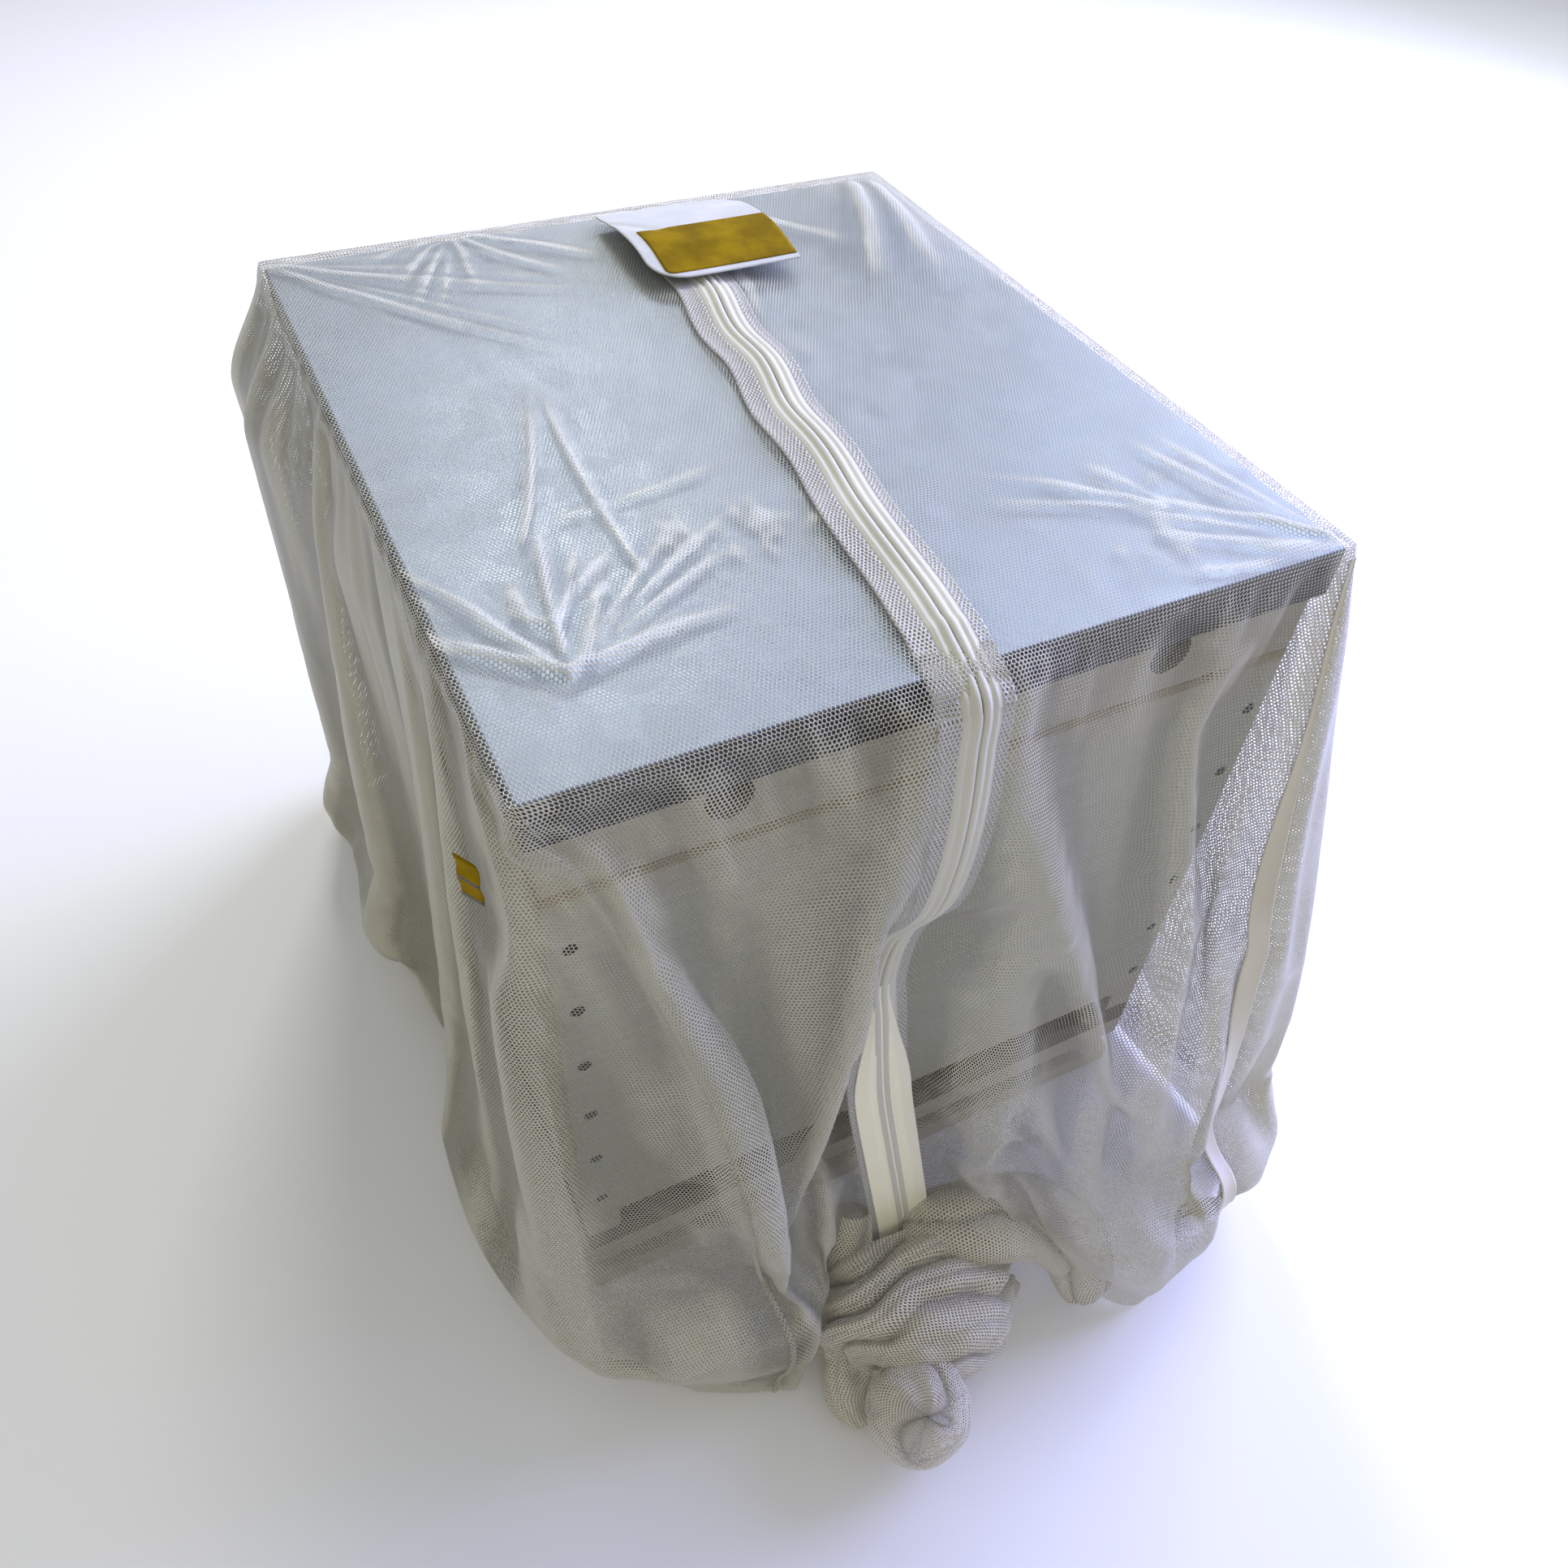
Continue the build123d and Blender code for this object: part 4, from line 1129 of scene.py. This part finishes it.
def roll_surface(name, axis, rings, around, radius_at, ridge_at):
    """A closed lumpy roll about an axis curve, radius_at giving its half width and half height."""
    points, places, relief_and_painted_light = [], [], []
    length = (axis(1) - axis(0)).length
    for ring in range(rings + 1):
        s = ring / rings
        centre, ahead = axis(s), axis(min(1, s + 0.01)) - axis(max(0, s - 0.01))
        ahead.normalize()
        side = ahead.cross(UP).normalized()
        up = side.cross(ahead)
        wide, tall = radius_at(s)
        for n in range(around):
            angle = 2 * pi * n / around
            ridge = ridge_at(s, angle)
            points.append(centre + (side * cos(angle) * wide + up * sin(angle) * tall) * ridge)
            places.append((angle * (wide + tall) / 2, s * length * 1.6))
            # valleys between the rolls come out below zero and so take the painted shade
            relief_and_painted_light.append(min(0.15, (ridge - 0.80) / 0.16 - 0.75))
    for point in points:
        point.z = max(point.z, NET_FLOOR / 2)
    roll = mesh_object(name, points, tube_faces(rings, around) + end_caps(rings, around))
    lay_cloth(roll, places)
    store(roll, "relief_and_painted_light", relief_and_painted_light)
    return roll


def build_twist():
    """The spare net wound up behind the knot, with its folds running round it."""
    knot_x, knot_y = (knot_low.x + knot_high.x) / 2, (knot_low.y + knot_high.y) / 2
    start = Vector((-0.034, -0.326, 0.040))
    end = Vector((knot_x + 0.006, knot_y + 0.004, 0.030))
    bow = Vector((0.004, -0.004, 0.004))

    def axis(s):
        return start.lerp(end, s) + bow * sin(pi * s)

    def radius_at(s):
        swell = sin(pi * min(1, 0.20 + s * 0.90)) ** 0.8
        return 0.022 + 0.052 * swell, 0.024 + 0.026 * swell

    def ridge_at(s, angle):
        drift = noise.noise(Vector((s * 2.4, 1.3 * cos(angle), 1.3 * sin(angle)))) * 1.3
        lump = noise.noise(Vector((s * 5.0, 2.2 * cos(angle), 2.2 * sin(angle) + 4.0)))
        wound = 3 * angle + 27.0 * s + 3.6 * drift
        fine = 8 * angle + 60.0 * s + 7.0 * drift
        bands = 0.17 * crease(wound, 0.5) + 0.05 * crease(fine) * smoothstep(0.3, 0.7, crease(wound))
        return 0.80 + bands + 0.10 * lump

    return roll_surface("net_twist", axis, 150, 150, radius_at, ridge_at)


def build_bunch():
    """The net bunched beside the twist on the right: a thick fold that bends down to the floor."""
    turns = ((-20, -322, 60), (14, -338, 74), (54, -350, 70), (82, -372, 48), (84, -396, 16))
    path = [Vector(turn) * MM for turn in turns]

    def axis(s):
        return spline(path, s)

    def radius_at(s):
        swell = sin(pi * min(1, 0.15 + s * 0.80)) ** 0.6
        return 0.010 + 0.020 * swell, 0.008 + 0.016 * swell

    def ridge_at(s, angle):
        drift = noise.noise(Vector((s * 4.0, cos(angle), sin(angle) + 5.0)))
        wound = 4 * angle + 5.0 * s + 2.0 * drift
        return 0.80 + 0.24 * crease(wound, 0.55)

    return roll_surface("net_bunch", axis, 90, 72, radius_at, ridge_at)


def build_lobes():
    """Two rounded lobes of net left of the twist: one hangs beside the zip's foot, one lies lower."""
    lobes = []
    for name, path, wide, tall in (
        ("net_lobe_foot", ((-58, -306, 96), (-66, -320, 62), (-64, -336, 30), (-58, -344, 14)), 17, 12),
        ("net_lobe_floor", ((-64, -352, 44), (-84, -368, 34), (-96, -386, 20), (-92, -404, 10)), 18, 13),
    ):
        points = [Vector(p) * MM for p in path]

        def axis(s):
            return spline(points, s)

        def radius_at(s):
            swell = sin(pi * min(1, 0.2 + s * 0.78)) ** 0.6
            return wide * MM * swell, tall * MM * swell

        def ridge_at(s, angle):
            drift = noise.noise(Vector((s * 3.0, cos(angle), sin(angle) + len(lobes))))
            return 0.82 + 0.16 * crease(3 * angle + 4.0 * s + 3.0 * drift, 0.55) + 0.08 * drift

        lobes.append(roll_surface(name, axis, 60, 60, radius_at, ridge_at))
    return lobes


def build_knot():
    """The knotted end: a ball of net with its folds swirling in to the top."""
    radius = (knot_high.x - knot_low.x) / 2
    centre = Vector(((knot_low.x + knot_high.x) / 2, knot_low.y + radius, radius + NET_FLOOR))
    rings, around = 80, 120
    tilt = Matrix.Rotation(radians(28), 3, Vector((1, -0.5, 0)))
    points, places, relief_and_painted_light = [], [], []
    for ring in range(rings + 1):
        polar = pi * ring / rings
        for n in range(around):
            angle = 2 * pi * n / around
            lump = noise.noise(Vector((1.5 * cos(angle), 1.5 * sin(angle), 1.5 * cos(polar))))
            swirl = 2 * angle + 7.5 * cos(polar) + 2.4 * lump
            fold = crease(swirl, 0.55) * sin(polar) ** 0.4
            r = radius * (0.80 + 0.17 * fold + 0.10 * lump + 0.02 * crease(3 * swirl))
            ball = Vector((sin(polar) * cos(angle), sin(polar) * sin(angle), cos(polar))) * r
            point = centre + tilt @ ball
            point.z = max(point.z, NET_FLOOR / 2)
            points.append(point)
            places.append((angle * radius, polar * radius))
            # valleys between the swirled folds come out below zero and so take the painted shade
            relief_and_painted_light.append(min(0.15, 1.6 * fold - 1.0))
    knot = mesh_object("net_knot", points, tube_faces(rings, around, flip=True))
    lay_cloth(knot, places)
    store(knot, "relief_and_painted_light", relief_and_painted_light)
    weld = bmesh.new()
    weld.from_mesh(knot.data)
    bmesh.ops.remove_doubles(weld, verts=weld.verts, dist=1e-6)
    weld.to_mesh(knot.data)
    weld.free()
    return knot


# ============================ the flap, its label and the tag ============================
def sheet(name, width, length, outline, height, thick, place, cells):
    """A thin closed sheet: outline bends its unit grid, height lifts it, and place puts it in the frame."""
    across, deep = cells
    points, faces, places = [], [], []
    for level in (1, 0):
        for j in range(deep + 1):
            for i in range(across + 1):
                u, v = outline(i / across, j / deep)
                points.append(place(u * width, v * length, height(u, v) + level * thick))
                places.append((u * width, v * length))
    size = (across + 1) * (deep + 1)
    for j in range(deep):
        for i in range(across):
            a = j * (across + 1) + i
            faces.append((a, a + 1, a + across + 2, a + across + 1))
            faces.append((size + a + across + 1, size + a + across + 2, size + a + 1, size + a))
    rim = list(range(across + 1))
    rim += [j * (across + 1) + across for j in range(1, deep + 1)]
    rim += [deep * (across + 1) + i for i in range(across - 1, -1, -1)]
    rim += [j * (across + 1) for j in range(deep - 1, 0, -1)]
    for n in range(len(rim)):
        a, b = rim[n], rim[(n + 1) % len(rim)]
        faces.append((a, size + a, size + b, b))
    made = mesh_object(name, points, faces)
    lay_cloth(made, places)
    return made


def round_corners(u, v, radius_u, radius_v, which):
    """Pulls a unit square's chosen corners in to quarter rounds."""
    for corner_u, corner_v in which:
        du = abs(u - corner_u) / radius_u
        dv = abs(v - corner_v) / radius_v
        if du < 1 and dv < 1:
            reach = max(1 - du, 1 - dv)
            long = hypot(1 - du, 1 - dv)
            if long > 1e-9:
                shrink = reach / long
                du, dv = 1 - (1 - du) * shrink, 1 - (1 - dv) * shrink
            u = corner_u + (1 if corner_u == 0 else -1) * du * radius_u
            v = corner_v + (1 if corner_v == 0 else -1) * dv * radius_v
    return u, v


def build_flap():
    """The stiff flap over the slider, lifted at the front, with its label."""
    overhang = 12 * MM
    width, length = flap_high.x - flap_low.x, flap_high.y - flap_low.y + overhang
    rises = (3.5 * MM, 9.6 * MM, 7.5 * MM, 0.0)

    def lie(u, v):
        curl = 2.0 * MM * (1 - v) ** 2 * (u - 0.4) ** 2
        dent = 0.9 * MM * exp(-(((u + v - 0.75) / 0.05) ** 2)) * smoothstep(0.35, 0.6, v)
        return spline(rises, v) + curl - dent

    def place(x, y, z):
        return Vector((flap_low.x - 5 * MM + x, flap_low.y - overhang + y, flap_low.z + 0.3 * MM + z))

    def outline(u, v):
        return round_corners(u, v, 0.24, 0.20, ((0, 0), (1, 1)))

    flap = sheet("flap_sheet", width, length, outline, lie, 1.1 * MM, place, (60, 60))
    bevel = flap.modifiers.new("edge", "BEVEL")
    bevel.width = 0.4 * MM
    bevel.limit_method = "ANGLE"
    dress(flap, flap_look, "flap_card", "flap", "slider_flap")

    label_u, label_v = 0.09, 0.045
    label_wide, label_long = 0.905, 0.47

    def label_lie(u, v):
        return lie(label_u + u * label_wide, label_v + v * label_long) + 1.15 * MM

    def label_place(x, y, z):
        return place(x + label_u * width, y + label_v * length, z)

    def label_outline(u, v):
        return round_corners(u, v, 0.06, 0.10, ((0, 0),))

    label = sheet(
        "flap_label_cloth", width * label_wide, length * label_long, label_outline, label_lie, 0.45 * MM,
        label_place, (48, 36),
    )
    dress(label, mustard_look, "yellow_label", "flap", "flap_label")


def build_tag():
    """The mustard tag in the left seam: a flat loop of tape with a dark band and a dark lower edge."""
    root = Vector((TAG_X, tag_low.y, (tag_low.z + tag_high.z) / 2))
    turn = Matrix.Rotation(radians(TAG_TURN), 3, UP)
    reach, tall = tag_high.y - tag_low.y, tag_high.z - tag_low.z
    points, places, looks = [], [], []
    around, rows, band_rows, edge_rows = 20, 26, (12, 13), 2
    half = 0.8 * MM
    for j in range(rows + 1):
        for i in range(around):
            angle = 2 * pi * i / around
            y = cos(angle)
            flat = (abs(y) ** 0.35) * (1 if y > 0 else -1)
            x = sin(angle) * half * (1 + 0.3 * noise.noise(Vector((j * 0.2, angle, 0))))
            z = tall * (j / rows - 0.5)
            point = Vector((x + 0.6 * MM * sin(j * 0.4), (flat + 1) * reach / 2, z))
            points.append(root + turn @ point)
            places.append((i / around * 2 * reach, z))
    for row in range(rows):
        looks += [int(row < edge_rows or row in band_rows)] * around
    looks += [1, 0]
    tag = mesh_object("tag_loop", points, tube_faces(rows, around) + end_caps(rows, around))
    lay_cloth(tag, places)
    dress(tag, mustard_look, "yellow_label", "tag", "side_tag")
    tag.data.materials.append(dark_band_look)
    tag.data.polygons.foreach_set("material_index", looks)


# ============================ stage, light and camera ============================
# The surroundings' two colours, and the direction of the cool one.
WARM_FRONT = (0.72, 0.69, 0.58, 1)
COOL_BACK = (0.82, 0.88, 1.0, 1)
COOL_SIDE = (0.76, 0.48, 0.46)
WORLD_STRENGTH = 0.62

# Square area lights: (name, place, aim, size in metres, watts, colour).
LIGHTS = (
    ("window", (2.2, 1.2, 2.1), (0.1, -0.1, 0.3), 1.4, 62, (0.78, 0.84, 1.0)),
    ("side_window", (2.4, -0.1, 1.1), (0.2, -0.2, 0.2), 1.6, 116, (0.44, 0.45, 1.0)),
    ("fill", (-1.3, -2.4, 2.2), (0, -0.3, 0.1), 2.2, 16, (1.0, 0.93, 0.76)),
    ("room", (0.6, 2.3, 2.5), (-0.1, -0.1, 0.5), 0.7, 40, (1.0, 0.97, 0.90)),
)

CAMERA_PLACE = Vector((-0.287, -0.581, 0.866))
CAMERA_AIM = Vector((-0.002, -0.077, 0.250))
CAMERA_ROLL, CAMERA_LENS = -4.2, 28.6


def build_floor():
    """A large pale floor."""
    floor = mesh_object("floor", [(-6, -6, 0), (6, -6, 0), (6, 6, 0), (-6, 6, 0)], [(0, 1, 2, 3)])
    s = Shader("floor_paint")
    give(floor, s.finish(s.principled({"Base Color": (0.80, 0.80, 0.80, 1), "Roughness": 0.85})))


def soft_light(name, place, aim, size, power, colour):
    """A square area light that faces its aim."""
    light = bpy.data.lights.new(name, "AREA")
    light.size = size
    light.energy = power
    light.color = colour
    lamp = bpy.data.objects.new(name, light)
    lamp.location = place
    lamp.rotation_euler = (Vector(aim) - Vector(place)).to_track_quat("-Z", "Y").to_euler()
    bpy.context.scene.collection.objects.link(lamp)


def build_world():
    """Pale surroundings: cooler from above and behind, warmer and dimmer from the front."""
    s = Shader("studio", "worlds")
    direction = s.node("TexCoord").outputs["Generated"]
    lean = s.node("VectorMath", {0: direction, 1: COOL_SIDE}, operation="DOT_PRODUCT").outputs["Value"]
    ramp = s.node("MapRange", {0: lean, 1: -0.7, 2: 0.6}).outputs[0]
    colour = s.mix(ramp, WARM_FRONT, COOL_BACK)
    light = s.node("Background", {"Color": colour, "Strength": WORLD_STRENGTH}).outputs[0]
    s.node("OutputWorld", {"Surface": light})
    scene = bpy.context.scene
    scene.world = s.owner
    scene.view_settings.view_transform = "Standard"
    scene.cycles.transparent_max_bounces = 24


def build_camera():
    """A wide lens above the hive's front left corner."""
    camera = bpy.data.cameras.new("camera")
    camera.lens = CAMERA_LENS
    camera.sensor_width = 36
    camera.clip_start = 0.01
    eye = bpy.data.objects.new("camera", camera)
    ahead = CAMERA_AIM - CAMERA_PLACE
    roll = Matrix.Rotation(radians(CAMERA_ROLL), 4, ahead.normalized())
    look = ahead.to_track_quat("-Z", "Y").to_matrix().to_4x4()
    eye.matrix_world = Matrix.Translation(CAMERA_PLACE) @ roll @ look
    bpy.context.scene.collection.objects.link(eye)
    bpy.context.scene.camera = eye


# ============================ putting it together ============================
net_look = net_material("net_white", (0.60, 0.58, 0.455, 1))
# paler thread colour than the hanging net: painted light, the gathered net lit from above
net_dense_painted_lit_look = net_material("net_dense", (0.73, 0.69, 0.57, 1), hole=0.30, see_through=0.2)
seam_look = woven_material("seam_binding", (0.68, 0.64, 0.54, 1), 900)
band_look = net_material("net_band", (0.66, 0.65, 0.61, 1), hole=0.27)
zip_tape_look = woven_material("zip_tape_weave", (0.60, 0.59, 0.51, 1))
foot_look = woven_material("zip_foot_weave", (0.95, 0.92, 0.72, 1))
coil_look = plastic_material("zip_coil_nylon", (0.56, 0.54, 0.45, 1))
flap_look = card_material()
mustard_look = mustard_material()
dark_band_look = woven_material("dark_band", (0.05, 0.045, 0.03, 1))
slider_look = metal_material("slider_metal", (0.72, 0.73, 0.75, 1))
nail_look = metal_material("nail_steel", (0.10, 0.09, 0.08, 1), 0.55)
painted_look = painted_wood_material("painted_wood", (0.56, 0.57, 0.48, 1))
bare_look = bare_wood_material("bare_wood", (0.42, 0.35, 0.22, 1), (0.30, 0.24, 0.14, 1))
# near black bare wood on the hive floor: painted shade for the dark entrance slots
hive_floor_painted_shade_look = bare_wood_material("hive_floor_painted_shade_wood", (0.17, 0.14, 0.10, 1), (0.09, 0.075, 0.05, 1))
lid_look = lid_material()

for name, node in frame["nodes"].items():
    if name.startswith(("base_", "stand_", "cleat_", "box_", "rim_")):
        give(node, painted_look)
for look, names in (
    (lid_look, ("lid_sheet",)),
    (bare_look, ("lid_board", "crown_board")),
    (hive_floor_painted_shade_look, ("hive_floor",)),
    (nail_look, ("lid_nails", "box_nails")),
    (slider_look, ("zip_slider", "zip_pull", "zip_stop_back", "zip_stop_foot")),
):
    for name in names:
        give(frame["nodes"][name], look)

columns = settled_columns()
skirt = build_skirt(columns)
top = build_top()
twist = build_twist()
bunch = build_bunch()
knot = build_knot()
gathered = [twist, bunch] + build_lobes()
dress(
    skirt, net_look, "net_fabric", "veil", "net_side_left", "net_side_right", "net_back", "net_front_left",
    "net_front_right", "hem_roll_left", "hem_roll_right",
)
dress(top, net_look, "net_fabric", "veil", "net_top_left", "net_top_right")
dress(knot, net_dense_painted_lit_look, "net_fabric", "veil", "end_knot")
for piece in gathered:
    dress(piece, net_dense_painted_lit_look, "net_fabric", "veil", "gathered_net")
build_zip()
build_seams(columns)
build_flap()
build_tag()

build_floor()
build_world()
for light in LIGHTS:
    soft_light(*light)
build_camera()
